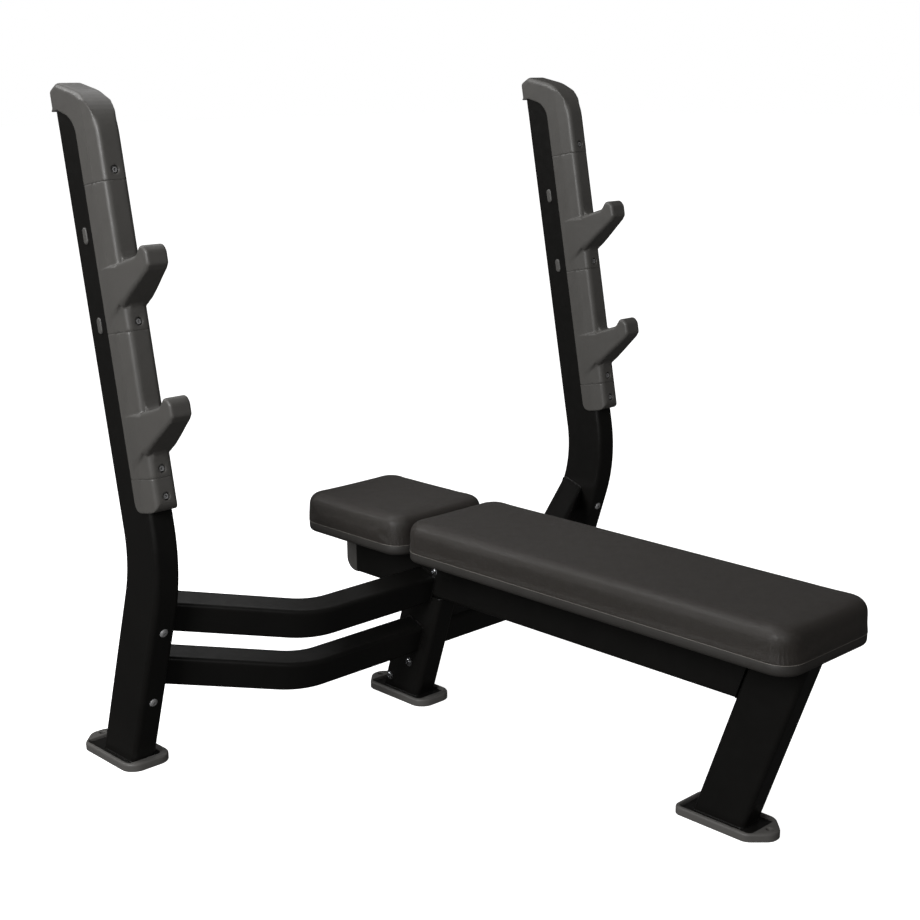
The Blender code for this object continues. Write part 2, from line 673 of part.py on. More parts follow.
def make_top_cap(side, frame):
    """Make the top cap: it closes the tube and its skirts run down into the cover's sides."""
    name = side + "_top_cap"
    low = COVER_SEAM_LOW + 2 * COVER_PITCH + GAP
    rear = COVER_FRONT + TUBE_DEPTH + CAP_REAR_WALL
    profile = [
        (-COVER_NOSE, low, 0.0),
        (COVER_WRAP, low, 0.0),
        (COVER_WRAP, CAP_SKIRT, CAP_SKIRT_TURN),
        (0.106, CAP_REAR_LOW, 0.0),
        (rear, CAP_REAR_LOW, 0.003),
        (rear, CAP_REAR_TOP, 0.008),
        (0.103, CAP_PEAK, 0.008),
        (-COVER_NOSE, CAP_FRONT_TOP, CAP_BROW),
    ]
    cap = prism(name, profile, -1.0, 1.0, along="X", steps=6)
    shape_sides(cap, COVER_FOLD, cover_half_width)
    put(cap, frame)
    bevel(cap, COVER_EDGE, segments=2)
    bevel_only(cap, lambda point: point.z > CAP_SKIRT or point.y < 0.0)
    half = TUBE_WIDTH / 2 + GAP
    half_depth = TUBE_DEPTH / 2 + GAP
    socket = prism(name + "_socket", rectangle(-half, half, -half_depth, half_depth, TUBE_CORNER), -0.3, 0.9,
                   collection=CUTTERS)
    put(socket, frame, (0.0, TUBE_BEHIND_COVER, 0.0))
    level_cut = box(name + "_level", (-REACH, -REACH, UPRIGHT_TOP + GAP), (REACH, REACH, 2.0),
                    collection=CUTTERS)
    put(level_cut, location=(frame.location.x, frame.location.y, 0.0))
    boolean(socket, level_cut)
    boolean(cap, socket)
    make_cover_screw(side + "_cap_screw", cap, frame, low + CAP_SCREW_INSET)
    finish(cap, COVER_PLASTIC)


def make_end_cover(side, frame):
    name = side + "_end_cover"
    profile = [(-COVER_NOSE, COVER_END, 0.012), (COVER_WRAP, COVER_END, 0.016),
               (COVER_WRAP, COVER_SEAM_LOW - GAP, 0.0), (-COVER_NOSE, COVER_SEAM_LOW - GAP, 0.0)]
    cover = cover_block(name, COVER_END - 0.02, COVER_SEAM_LOW - GAP)
    put(cover, frame)
    trimmer = prism(name + "_profile", profile, -0.1, 0.1, along="X", collection=CUTTERS)
    put(trimmer, frame)
    boolean(cover, trimmer, "INTERSECT")
    channel = tube_channel(name, COVER_END - 0.05, COVER_SEAM_LOW + 0.02)
    put(channel, frame)
    boolean(cover, channel)
    make_cover_screw(side + "_end_screw", cover, frame, COVER_END + END_SCREW_INSET)
    finish(cover, COVER_PLASTIC)


# ---------------------------------------------------------------- plugs and bolts
def slot_plan(half_width, half_length):
    return rectangle(-half_width, half_width, -half_length, half_length, half_width * 0.98)


def make_slot_plug(side, frame, upright, number, station):
    """Make the moulded plug that fills the slots in both walls of the upright."""
    name = side + "_slot_plug_" + str(number)
    turned = (0.0, math.pi / 2, 0.0)
    place = (0.0, SLOT_BACK, station)
    lie_along = Matrix.Rotation(math.pi / 2, 4, "Z")
    slot = prism(name + "_slot", slot_plan(SLOT_WIDTH / 2, SLOT_LENGTH / 2), -0.05, 0.05, collection=CUTTERS)
    plug = prism(name, slot_plan(SLOT_WIDTH / 2 - GAP, SLOT_LENGTH / 2 - GAP), -0.027, 0.027)
    slot.data.transform(lie_along)
    plug.data.transform(lie_along)
    put(slot, frame, place, turned)
    put(plug, frame, place, turned)
    boolean(upright, slot)
    for face, sign in (("inner", 1.0), ("outer", -1.0)):
        low, high = sorted((sign * (TUBE_WIDTH / 2 + GAP), sign * (TUBE_WIDTH / 2 + PLUG_STANDOUT)))
        flange = prism(name + "_" + face, slot_plan(SLOT_WIDTH / 2 + PLUG_LIP, SLOT_LENGTH / 2 + PLUG_LIP),
                       low, high, collection=CUTTERS)
        flange.data.transform(lie_along)
        put(flange, frame, place, turned)
        boolean(plug, flange, "UNION")
    finish(plug, PLUG_PLASTIC)


def make_front_plug(side, sign, number, height):
    """Make a domed plug on the front face of the upright's lower run."""
    y, _ = lean_point(UPRIGHT_BASE_Y, LOWER_LEAN, height)
    front = y - TUBE_DEPTH / 2 / math.cos(LOWER_LEAN)
    mesh = bpy.data.meshes.new("dome")
    solid = bmesh.new()
    bmesh.ops.create_uvsphere(solid, u_segments=20, v_segments=10, radius=FRONT_PLUG_RADIUS)
    bmesh.ops.scale(solid, vec=(1.0, 1.0, FRONT_PLUG_FLATNESS), verts=solid.verts)
    bmesh.ops.bisect_plane(solid, geom=solid.verts[:] + solid.edges[:] + solid.faces[:],
                           plane_co=(0.0, 0.0, 0.0), plane_no=(0.0, 0.0, 1.0), clear_inner=True)
    rim = [edge for edge in solid.edges if edge.is_boundary]
    bmesh.ops.contextual_create(solid, geom=rim)
    bmesh.ops.recalc_face_normals(solid, faces=solid.faces)
    solid.to_mesh(mesh)
    solid.free()
    plug = mesh_object(side + "_front_plug_" + str(number), mesh)
    put(plug, location=(sign * UPRIGHT_X, front - GAP, height), rotation=(math.pi / 2 + LOWER_LEAN, 0.0, 0.0))
    finish(plug, ZINC)


def make_side_bolt(name, sign, place):
    """Make a low round-head bolt standing on the side face of a tube on the centre line."""
    bolt = cylinder(name, BOLT_RADIUS, 0.0, BOLT_HEIGHT, 24)
    bevel(bolt, BOLT_EDGE)
    socket = cylinder(name + "_socket", BOLT_SOCKET_RADIUS, BOLT_SOCKET_FLOOR, CUT_OVER, 6, CUTTERS)
    for piece in (bolt, socket):
        put(piece, location=(sign * (TUBE_WIDTH / 2 + GAP), *place), rotation=(0.0, sign * math.pi / 2, 0.0))
    boolean(bolt, socket)
    finish(bolt, ZINC)


# ---------------------------------------------------------------- bench
def make_beam_cap():
    """Close the beam's head end with a moulded plug whose lower corner is well rounded."""
    half = TUBE_WIDTH / 2
    rear = BEAM_REAR + BEAM_CAP_LENGTH
    profile = [(BEAM_REAR + GAP, BEAM_BOTTOM, 0.0), (rear, BEAM_BOTTOM, 0.028),
               (rear, BEAM_TOP, 0.006), (BEAM_REAR + GAP, BEAM_TOP, 0.0)]
    cap = prism("beam_end_cap", profile, -half, half, along="X", steps=6)
    wall = TUBE_WALL + SPIGOT_FIT
    spigot = box("beam_end_cap_spigot", (wall - half, BEAM_REAR - SPIGOT_LENGTH, BEAM_BOTTOM + wall),
                 (half - wall, BEAM_REAR + SPIGOT_ROOT, BEAM_TOP - wall), collection=CUTTERS)
    bevel(spigot, SPIGOT_EDGE)
    boolean(cap, spigot, "UNION")
    finish(cap, FOOT_PLASTIC)


def pad_plan(y_range, inset):
    half = PAD_HALF_WIDTH - inset
    return rectangle(-half, half, y_range[0] + inset, y_range[1] - inset, PAD_CORNER - inset)


def make_pad(name, y_range):
    """Make one pad: upholstered cushion, plywood board, and the shallow shell under the seam."""
    cushion = prism(name + "_cushion", pad_plan(y_range, 0.0), PAD_SEAM + GAP, PAD_TOP)
    bevel(cushion, PAD_EDGE, segments=4)
    bevel_only(cushion, lambda point: point.z > PAD_TOP - 0.001)
    finish(cushion, VINYL)
    shell = prism(name + "_shell", pad_plan(y_range, SHELL_STEP), PAD_UNDERSIDE, PAD_SEAM)
    bevel(shell, SHELL_EDGE, segments=3)
    bevel_only(shell, lambda point: point.z < PAD_UNDERSIDE + 0.001)
    inner = prism(name + "_shell_inner", pad_plan(y_range, BOARD_INSET), PAD_UNDERSIDE + SHELL_WALL,
                  PAD_SEAM + CUT_OVER, collection=CUTTERS)
    boolean(shell, inner)
    finish(shell, SHELL_PLASTIC)
    board_low = PAD_UNDERSIDE + SHELL_WALL + GAP
    board = prism(name + "_board", pad_plan(y_range, BOARD_INSET + GAP), board_low,
                  board_low + BOARD_THICKNESS)
    finish(board, PLYWOOD)


def make_bracket(name, y):
    """Make a pad mounting plate, lying across the beam."""
    low = BEAM_TOP + GAP
    plate = box(name + "_pad_bracket", (-0.085, y - 0.03, low), (0.085, y + 0.03, PAD_UNDERSIDE - GAP), 0.006)
    finish(plate, PAINTED_STEEL)


def main():
    for side, sign in SIDES:
        upright = make_upright(side, sign)
        make_cross_tube(side, sign, "upper", UPPER_CROSS_Z)
        make_cross_tube(side, sign, "lower", LOWER_CROSS_Z)
        foot_x = sorted(sign * x for x in UPRIGHT_FOOT_X)
        tray_x = sorted(sign * x for x in UPRIGHT_TRAY_X)
        make_foot(side, foot_x, tray_x, UPRIGHT_FOOT_Y, TOE)
        frame = upright_frame(side, sign)
        make_end_cover(side, frame)
        make_hook_cover(side, frame, "lower", COVER_SEAM_LOW, COVER_SEAM_LOW + COVER_PITCH)
        make_hook_cover(side, frame, "upper", COVER_SEAM_LOW + COVER_PITCH,
                        COVER_SEAM_LOW + 2 * COVER_PITCH)
        make_top_cap(side, frame)
        for number, station in enumerate(SLOT_STATIONS, 1):
            make_slot_plug(side, frame, upright, number, station)
        for number, height in enumerate(FRONT_PLUG_HEIGHTS, 1):
            make_front_plug(side, sign, number, height)
    make_leg("rear_leg_tube", REAR_LEG_BASE_Y, LOWER_LEAN, BEAM_BOTTOM - GAP)
    make_leg("front_leg_tube", FRONT_LEG_BASE_Y, FRONT_LEG_LEAN, BEAM_TOP)
    make_foot("rear_leg", LEG_FOOT_X, LEG_TRAY_X, REAR_FOOT_Y, TOE)
    make_foot("front_leg", LEG_FOOT_X, LEG_TRAY_X, FRONT_FOOT_Y, HEEL)
    make_beam()
    make_beam_cap()
    for number, place in enumerate(REAR_LEG_BOLTS, 1):
        make_side_bolt("rear_leg_bolt_" + str(number), -1.0, place)
    for side, sign in SIDES:
        make_side_bolt(side + "_beam_bolt", sign, BEAM_BOLT)
    make_pad("main_pad", MAIN_PAD_Y)
    make_pad("head_pad", HEAD_PAD_Y)
    for name, y in BRACKET_STATIONS:
        make_bracket(name, y)


main()
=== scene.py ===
"""Looks for the olympic bench press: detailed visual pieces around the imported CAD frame."""
import json
import math

import bmesh
import bpy
from mathutils import Matrix, Vector


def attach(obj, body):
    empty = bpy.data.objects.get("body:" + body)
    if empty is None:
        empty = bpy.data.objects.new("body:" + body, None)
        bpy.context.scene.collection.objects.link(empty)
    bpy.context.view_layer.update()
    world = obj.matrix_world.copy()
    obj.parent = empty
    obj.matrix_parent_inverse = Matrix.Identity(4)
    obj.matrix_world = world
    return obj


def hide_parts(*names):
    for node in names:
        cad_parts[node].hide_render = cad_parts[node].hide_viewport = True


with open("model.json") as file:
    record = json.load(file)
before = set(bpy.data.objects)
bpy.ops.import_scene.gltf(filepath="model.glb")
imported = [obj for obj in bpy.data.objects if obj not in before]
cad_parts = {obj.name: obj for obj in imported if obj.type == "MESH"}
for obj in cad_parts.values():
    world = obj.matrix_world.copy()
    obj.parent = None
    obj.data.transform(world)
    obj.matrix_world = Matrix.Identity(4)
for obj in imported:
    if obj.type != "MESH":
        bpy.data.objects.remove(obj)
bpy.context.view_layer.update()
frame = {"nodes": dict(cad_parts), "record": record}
scene = bpy.context.scene

# ------------------------------------------------------------------ shared sizes, in metres
TUBE_WIDTH, TUBE_DEPTH, TUBE_CORNER = 0.0508, 0.1016, 0.009
CROSS_WIDTH, CROSS_HEIGHT, CROSS_CORNER = 0.0508, 0.0635, 0.008
UPRIGHT_X, UPRIGHT_BASE_Y = 0.592, 0.524
LOWER_LEAN, UPPER_LEAN = math.radians(18.4), math.radians(10.1)
BEND_HEIGHT, BEND_RADIUS, UPRIGHT_TOP = 0.4067, 0.30, 1.211
BEND_Y = UPRIGHT_BASE_Y - math.tan(LOWER_LEAN) * BEND_HEIGHT
COVER_HALF, COVER_FRONT, COVER_WRAP, COVER_CORNER = 0.0285, 0.0164, 0.0555, 0.012
COVER_FOLD, COVER_FOLD_RADIUS, COVER_NOSE, NOSE_HALF = 0.024, 0.060, 0.008, 0.022
COVER_END, SEAM_LOW, PITCH, HOOK_ROOT = 0.107, 0.167, 0.258, 0.0393
REAR_LEG_BASE_Y, FRONT_LEG_BASE_Y, FRONT_LEG_LEAN = 0.3831, -0.4387, math.radians(19.5)
BEAM_BOTTOM, BEAM_REAR = 0.2409, 0.508
BEAM_TOP = BEAM_BOTTOM + TUBE_DEPTH
PLATE_TOP = 0.010
GAP = 0.0003                     # between neighbouring pieces that touch
FIT = 0.0004                     # between a tube and the moulding round it
SIDES = (("left", -1.0), ("right", 1.0))


# ------------------------------------------------------------------ materials
class Look:
    """A small node graph around one Principled shader, with object coordinates in metres."""

    def __init__(self, name, colour, roughness, metallic=0.0, specular=0.5):
        self.material = bpy.data.materials.new(name)
        self.material.use_nodes = True
        self.tree = self.material.node_tree
        self.shader = self.tree.nodes["Principled BSDF"]
        self.shader.inputs["Metallic"].default_value = metallic
        self.shader.inputs["Specular IOR Level"].default_value = specular
        self.place = self.tree.nodes.new("ShaderNodeTexCoord").outputs["Object"]
        self.colour = (*colour, 1.0)
        self.roughness = roughness
        self.normal = None

    def node(self, kind, **values):
        made = self.tree.nodes.new(kind)
        for key, value in values.items():
            setattr(made, key, value)
        return made

    def link(self, source, target):
        self.tree.links.new(source, target)

    def noise(self, scale, detail=3.0, roughness=0.5, stretch=None):
        made = self.node("ShaderNodeTexNoise")
        made.inputs["Scale"].default_value = scale
        made.inputs["Detail"].default_value = detail
        made.inputs["Roughness"].default_value = roughness
        place = self.place
        if stretch:
            mapping = self.node("ShaderNodeMapping")
            mapping.inputs["Scale"].default_value = stretch
            self.link(place, mapping.inputs["Vector"])
            place = mapping.outputs["Vector"]
        self.link(place, made.inputs["Vector"])
        return made.outputs["Fac"]

    def cells(self, scale, warp=0.0, feature="DISTANCE_TO_EDGE"):
        made = self.node("ShaderNodeTexVoronoi", feature=feature)
        made.inputs["Scale"].default_value = scale
        place = self.place
        if warp:
            swirl = self.node("ShaderNodeTexNoise")
            swirl.inputs["Scale"].default_value = scale * 0.35
            swirl.inputs["Detail"].default_value = 2.0
            self.link(place, swirl.inputs["Vector"])
            mix = self.node("ShaderNodeVectorMath", operation="MULTIPLY_ADD")
            mix.inputs[1].default_value = (warp,) * 3
            self.link(swirl.outputs["Color"], mix.inputs[0])
            self.link(place, mix.inputs[2])
            place = mix.outputs[0]
        self.link(place, made.inputs["Vector"])
        return made.outputs["Distance"]

    def remap(self, value, low, high, out_low, out_high):
        made = self.node("ShaderNodeMapRange")
        made.inputs["From Min"].default_value = low
        made.inputs["From Max"].default_value = high
        made.inputs["To Min"].default_value = out_low
        made.inputs["To Max"].default_value = out_high
        self.link(value, made.inputs["Value"])
        return made.outputs["Result"]

    def tint(self, factor, colour):
        """Mix the running colour towards another by a factor socket."""
        mix = self.node("ShaderNodeMix", data_type="RGBA")
        self.link(factor, mix.inputs["Factor"])
        if isinstance(self.colour, tuple):
            mix.inputs["A"].default_value = self.colour
        else:
            self.link(self.colour, mix.inputs["A"])
        mix.inputs["B"].default_value = (*colour, 1.0)
        self.colour = mix.outputs["Result"]

    def rough(self, value, amount, low=0.3, high=0.7):
        """Vary the roughness about its mean by a texture value."""
        centre = self.roughness
        self.roughness = self.remap(value, low, high, centre - amount, centre + amount)

    def bump(self, height, distance, strength=1.0):
        made = self.node("ShaderNodeBump")
        made.inputs["Distance"].default_value = distance
        made.inputs["Strength"].default_value = strength
        self.link(height, made.inputs["Height"])
        if self.normal:
            self.link(self.normal, made.inputs["Normal"])
        self.normal = made.outputs["Normal"]

    def done(self):
        self.link(self.colour, self.shader.inputs["Base Color"])
        if isinstance(self.roughness, float):
            self.shader.inputs["Roughness"].default_value = self.roughness
        else:
            self.link(self.roughness, self.shader.inputs["Roughness"])
        if self.normal:
            self.link(self.normal, self.shader.inputs["Normal"])
        return self.material


def powder_coat():
    look = Look("powder_coat_black", (0.0066, 0.0064, 0.0060), 0.34, specular=0.26)
    look.tint(look.remap(look.noise(14.0, 4.0), 0.35, 0.75, 0.0, 0.35), (0.0095, 0.0090, 0.0082))
    dust = look.remap(look.noise(3.0, 6.0, 0.65), 0.52, 0.75, 0.0, 0.22)
    look.tint(dust, (0.016, 0.015, 0.0135))
    look.rough(look.noise(60.0, 4.0), 0.05)
    look.bump(look.noise(420.0, 2.0), 0.00020, 0.35)
    look.bump(look.noise(2600.0, 1.0), 0.00004, 0.5)
    return look.done()


def moulded_plastic(name, colour, light, dark, roughness=0.42, specular=0.45, grain=1500.0):
    look = Look(name, colour, roughness, specular=specular)
    look.tint(look.remap(look.noise(9.0, 5.0, 0.6), 0.40, 0.72, 0.0, 0.45), light)
    look.tint(look.remap(look.noise(38.0, 4.0, 0.6), 0.50, 0.74, 0.0, 0.30), dark)
    look.rough(look.noise(45.0, 5.0, 0.6), 0.05)
    look.bump(look.cells(grain, 0.0004, "F1"), 0.00007, 0.5)
    look.bump(look.noise(grain * 0.4, 3.0), 0.00008, 0.4)
    look.bump(look.noise(18.0, 2.0), 0.0006, 0.08)
    return look.done()


def vinyl():
    look = Look("upholstery_vinyl", (0.0285, 0.0250, 0.0220), 0.38, specular=0.42)
    look.tint(look.remap(look.noise(5.0, 5.0, 0.6), 0.38, 0.70, 0.0, 0.5), (0.0315, 0.0278, 0.0245))
    creases = look.cells(620.0, 0.0011)
    # painted shade: the vinyl's colour darkens towards each grain crease, as well as the creases' bump below
    look.tint(look.remap(creases, 0.0, 0.10, 0.55, 0.0), (0.0125, 0.0105, 0.0090))
    look.rough(look.noise(30.0, 5.0, 0.62), 0.045)
    look.bump(look.remap(creases, 0.0, 0.16, 0.0, 1.0), 0.00026, 0.7)
    look.bump(look.noise(1700.0, 3.0, 0.6), 0.00007, 0.45)
    look.bump(look.noise(26.0, 3.0), 0.0012, 0.10)
    look.shader.inputs["Sheen Weight"].default_value = 0.04
    look.shader.inputs["Sheen Roughness"].default_value = 0.45
    return look.done()


def metal(name, colour, roughness, brushed=(1.0, 1.0, 1.0), metallic=1.0):
    look = Look(name, colour, roughness, metallic=metallic)
    look.tint(look.remap(look.noise(160.0, 4.0), 0.4, 0.7, 0.0, 0.5), tuple(c * 0.62 for c in colour))
    look.rough(look.noise(300.0, 3.0, 0.5, brushed), 0.08)
    look.bump(look.noise(900.0, 3.0, 0.5, brushed), 0.00006, 0.4)
    return look.done()


def plywood():
    look = Look("raw_plywood", (0.46, 0.33, 0.20), 0.75)
    grain = look.noise(40.0, 5.0, 0.6, (6.0, 0.6, 6.0))
    plies = look.noise(4.0, 3.0, 0.5, (0.4, 0.4, 90.0))
    look.tint(look.remap(grain, 0.35, 0.7, 0.0, 0.8), (0.30, 0.20, 0.11))
    look.tint(look.remap(plies, 0.45, 0.55, 0.0, 0.6), (0.22, 0.14, 0.08))
    look.bump(look.noise(300.0, 4.0, 0.6, (4.0, 0.5, 4.0)), 0.0002, 0.5)
    return look.done()


STEEL_BLACK = powder_coat()
COVER_GREY = moulded_plastic("moulded_cover_grey", (0.070, 0.0675, 0.0635), (0.082, 0.079, 0.075),
                             (0.052, 0.050, 0.047))
FOOT_GREY = moulded_plastic("moulded_foot_grey", (0.085, 0.082, 0.078), (0.100, 0.097, 0.093),
                            (0.060, 0.058, 0.054), roughness=0.48, grain=1100.0)
PLUG_GREY = moulded_plastic("slot_plug_grey", (0.072, 0.070, 0.067), (0.088, 0.086, 0.082),
                            (0.050, 0.048, 0.045), roughness=0.4)
SHELL_BLACK = moulded_plastic("pad_shell_black", (0.030, 0.028, 0.026), (0.038, 0.036, 0.033),
                              (0.020, 0.018, 0.016), roughness=0.5, grain=800.0)
# painted highlight: the welt's pale grey stands in for the bright line of light along the cushion's seam
WELT = moulded_plastic("seam_welt", (0.17, 0.160, 0.145), (0.20, 0.19, 0.170), (0.12, 0.112, 0.100),
                       roughness=0.38)
VINYL = vinyl()
ZINC = metal("bright_zinc", (0.62, 0.63, 0.65), 0.26)
PALE_ZINC = metal("pale_zinc", (0.30, 0.30, 0.305), 0.45, metallic=0.35)
BARE_STEEL = metal("plain_steel_plate", (0.36, 0.36, 0.37), 0.42, (1.0, 8.0, 1.0))
PLYWOOD = plywood()

SLOT_LOOKS = {"powder_coated_steel": STEEL_BLACK, "moulded_cover": COVER_GREY, "foot_moulding": FOOT_GREY,
              "slot_plug": PLUG_GREY, "pad_vinyl": VINYL, "pad_shell": SHELL_BLACK, "pad_board": PLYWOOD,
              "hook_steel": BARE_STEEL, "zinc_fastener": ZINC}
for entry in frame["record"]["subparts"]:
    for material_slot in frame["nodes"][entry["node"]].material_slots:
        material_slot.material = SLOT_LOOKS[entry["material_slot"]]


# ------------------------------------------------------------------ mesh helpers
def mesh_from(vertices, faces):
    mesh = bpy.data.meshes.new("piece")
    mesh.from_pydata([tuple(v) for v in vertices], [], faces)
    solid = bmesh.new()
    solid.from_mesh(mesh)
    bmesh.ops.recalc_face_normals(solid, faces=solid.faces)
    solid.to_mesh(mesh)
    solid.free()
    return mesh


def raw_object(name, mesh):
    thing = bpy.data.objects.new(name, mesh)
    scene.collection.objects.link(thing)
    return thing


def bake(thing):
    """Apply an object's modifiers to its mesh."""
    graph = bpy.context.evaluated_depsgraph_get()
    mesh = bpy.data.meshes.new_from_object(thing.evaluated_get(graph), depsgraph=graph)
    thing.modifiers.clear()
    thing.data = mesh


def drop(*things):
    for thing in things:
        bpy.data.objects.remove(thing)


def piece(name, mesh, material, nodes=(), place=None, sharp=35.0):
    thing = raw_object(name, mesh)
    mesh.materials.clear()
    mesh.materials.append(material)
    mesh.shade_smooth()
    if sharp is not None:
        mesh.set_sharp_from_angle(angle=math.radians(sharp))
    if place is not None:
        thing.matrix_world = place
    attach(thing, "root")
    if nodes:
        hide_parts(*nodes)
    return thing


def round_corners(corners, steps=8):
    """Turn corners (x, y, radius) into outline points, with an arc at each rounded corner."""
    points = []
    for index, (x, y, radius) in enumerate(corners):
        corner = Vector((x, y))
        if radius <= 0.0:
            points.append(corner)
            continue
        before, after = Vector(corners[index - 1][:2]), Vector(corners[(index + 1) % len(corners)][:2])
        to_before, to_after = (before - corner).normalized(), (after - corner).normalized()
        half = to_before.angle(to_after) / 2.0
        centre = corner + (to_before + to_after).normalized() * (radius / math.sin(half))
        tangent = radius / math.tan(half)
        start, end = corner + to_before * tangent - centre, corner + to_after * tangent - centre
        sweep = math.atan2(start.x * end.y - start.y * end.x, start.dot(end))
        points += [centre + Matrix.Rotation(sweep * step / steps, 2) @ start for step in range(steps + 1)]
    return points


def rectangle(x_low, x_high, y_low, y_high, radius):
    return [(x_low, y_low, radius), (x_high, y_low, radius),
            (x_high, y_high, radius), (x_low, y_high, radius)]


def loft(rings, closed_ends=True):
    """Skin a list of equal-length closed rings."""
    count = len(rings[0])
    vertices = [point for ring in rings for point in ring]
    faces = []
    for level in range(len(rings) - 1):
        lower, upper = level * count, (level + 1) * count
        for i in range(count):
            j = (i + 1) % count
            faces.append((lower + i, lower + j, upper + j, upper + i))
    if closed_ends:
        faces.append(tuple(reversed(range(count))))
        faces.append(tuple((len(rings) - 1) * count + i for i in range(count)))
    return mesh_from(vertices, faces)


def slab(corners, low, high, along="Z", steps=8):
    """Extrude a rounded outline: along Z it is a plan (x, y), along X a side view (y, z)."""
    outline = round_corners(corners, steps)
    if along == "Z":
        rings = [[Vector((p.x, p.y, level)) for p in outline] for level in (low, high)]
    else:
        rings = [[Vector((level, p.x, p.y)) for p in outline] for level in (low, high)]
    return loft(rings)


def cut(target, cutter, operation="DIFFERENCE"):
    change = target.modifiers.new("cut", "BOOLEAN")
    change.operation = operation
    change.solver = "EXACT"
    change.object = cutter


def round_edges(thing, width, segments, chosen, clamp=False):
    """Bevel the edges that run along a side face and whose two ends pass a test."""
    edge = thing.modifiers.new("edge", "BEVEL")
    edge.width, edge.segments, edge.limit_method = width, segments, "WEIGHT"
    edge.use_clamp_overlap = clamp
    weights = thing.data.attributes.new("bevel_weight_edge", "FLOAT", "EDGE")
    for line in thing.data.edges:
        a, b = (thing.data.vertices[i].co for i in line.vertices)
        if abs(a.x - b.x) < 0.001 and chosen(a, b):
            weights.data[line.index].value = 1.0
    bake(thing)


def soften(thing, voxel, passes, keep=0.35, warp=None):
    """Remesh to even quads, smooth them into soft moulded edges, warp if asked, and thin out the flats."""
    remesh = thing.modifiers.new("remesh", "REMESH")
    remesh.mode = "VOXEL"
    remesh.voxel_size = voxel
    smooth = thing.modifiers.new("smooth", "SMOOTH")
    smooth.factor = 0.5
    smooth.iterations = passes
    bake(thing)
    if warp:
        for vertex in thing.data.vertices:
            vertex.co = warp(vertex.co)
    thin = thing.modifiers.new("thin", "DECIMATE")
    thin.ratio = keep
    bake(thing)


GROOVE = 0.0006                  # width and depth of the groove at a seam between covers


def trim_between(thing, low, high):
    """Cut a softened cover off square at its seams, with a fine groove round each."""
    block = raw_object("block", slab(rectangle(-0.2, 0.2, -0.3, 0.3, 0.0), low, high))
    cut(thing, block, "INTERSECT")
    bake(thing)
    drop(block)
    solid = bmesh.new()
    solid.from_mesh(thing.data)
    for level, groove in ((low, GROOVE), (high, -GROOVE)):
        bmesh.ops.bisect_plane(solid, geom=solid.verts[:] + solid.edges[:] + solid.faces[:],
                               plane_co=(0.0, 0.0, level + groove), plane_no=(0.0, 0.0, 1.0))
        solid.normal_update()
        for vertex in solid.verts:
            side = Vector((vertex.normal.x, vertex.normal.y, 0.0))
            if abs(vertex.co.z - level) < 0.00001 and side.length > 0.1:
                vertex.co -= side.normalized() * GROOVE
    solid.to_mesh(thing.data)
    solid.free()


# ------------------------------------------------------------------ tubes
def section(width, depth, corner, steps=7, band=0.002):
    """Cross section with short support bands beside each rounded corner, so the flats shade flat."""
    outline = round_corners(rectangle(-width / 2, width / 2, -depth / 2, depth / 2, corner), steps)
    points = []
    count = len(outline)
    for i, point in enumerate(outline):
        points.append(point)
        following = outline[(i + 1) % count]
        if (following - point).length > 4 * band:
            step = (following - point).normalized() * band
            points += [point + step, following - step]
    return points


def bent_path(start, corner, end, radius, steps=28):
    start, corner, end = Vector(start), Vector(corner), Vector(end)
    to_start, to_end = (start - corner).normalized(), (end - corner).normalized()
    half = to_start.angle(to_end) / 2.0
    tangent = radius / math.tan(half)
    centre = corner + (to_start + to_end).normalized() * (radius / math.sin(half))
    first, last = corner + to_start * tangent - centre, corner + to_end * tangent - centre
    axis, turn = first.cross(last).normalized(), first.angle(last)
    arc = [centre + Matrix.Rotation(turn * step / steps, 3, axis) @ first for step in range(steps + 1)]
    return [start] + arc + [end]


def tube_rings(path, across, outline, start_cut, end_cut):
    """Carry an outline along a path in one plane; the end rings slide onto their cutting planes."""
    rings = []
    last = len(path) - 1
    for index, point in enumerate(path):
        ahead = (path[min(index + 1, last)] - point).normalized() if index < last else None
        behind = (point - path[index - 1]).normalized() if index else None
        tangent = ((ahead or behind) + (behind or ahead)).normalized()
        side = tangent.cross(across).normalized()
        stretch = 1.0 / max(0.9, tangent.dot(ahead or behind))
        ring = [point + across * p.x + side * (p.y * stretch) for p in outline]
        limit = start_cut if index == 0 else end_cut if index == last else None
        if limit:
            spot, normal = limit
            ring = [v + tangent * ((spot - v).dot(normal) / tangent.dot(normal)) for v in ring]
        rings.append(ring)
    return rings


WELD_RADIUS, WELD_PITCH, WELD_PUSH = 0.0015, 0.0026, 0.0006


def weld_bead(name, ring, push):
    """Lay a rippled fillet weld round a tube's end ring; push moves it onto the corner it fills."""
    points = []
    count = len(ring)
    for i in range(count):
        a, b = Vector(ring[i]), Vector(ring[(i + 1) % count])
        parts = max(1, round((b - a).length / (WELD_PITCH * 0.5)))
        points += [a.lerp(b, k / parts) for k in range(parts)]
    total = len(points)
    middle = sum(points, Vector()) / total
    rings = []
    for i, point in enumerate(points):
        tangent = (points[(i + 1) % total] - points[i - 1]).normalized()
        outward = (point - middle).normalized()
        up = tangent.cross(outward).normalized()
        outward = up.cross(tangent).normalized()
        swell = WELD_RADIUS * (1.0 + 0.13 * math.cos(i * 2.1))
        centre = point + push
        rings.append([centre + (outward * math.cos(t) + up * math.sin(t)) * swell
                      for t in (math.tau * k / 8 for k in range(8))])
    rings.append(rings[0])
    mesh = loft(rings, closed_ends=False)
    solid = bmesh.new()
    solid.from_mesh(mesh)
    bmesh.ops.remove_doubles(solid, verts=solid.verts, dist=0.00001)
    solid.to_mesh(mesh)
    solid.free()
    return piece(name, mesh, STEEL_BLACK, sharp=None)


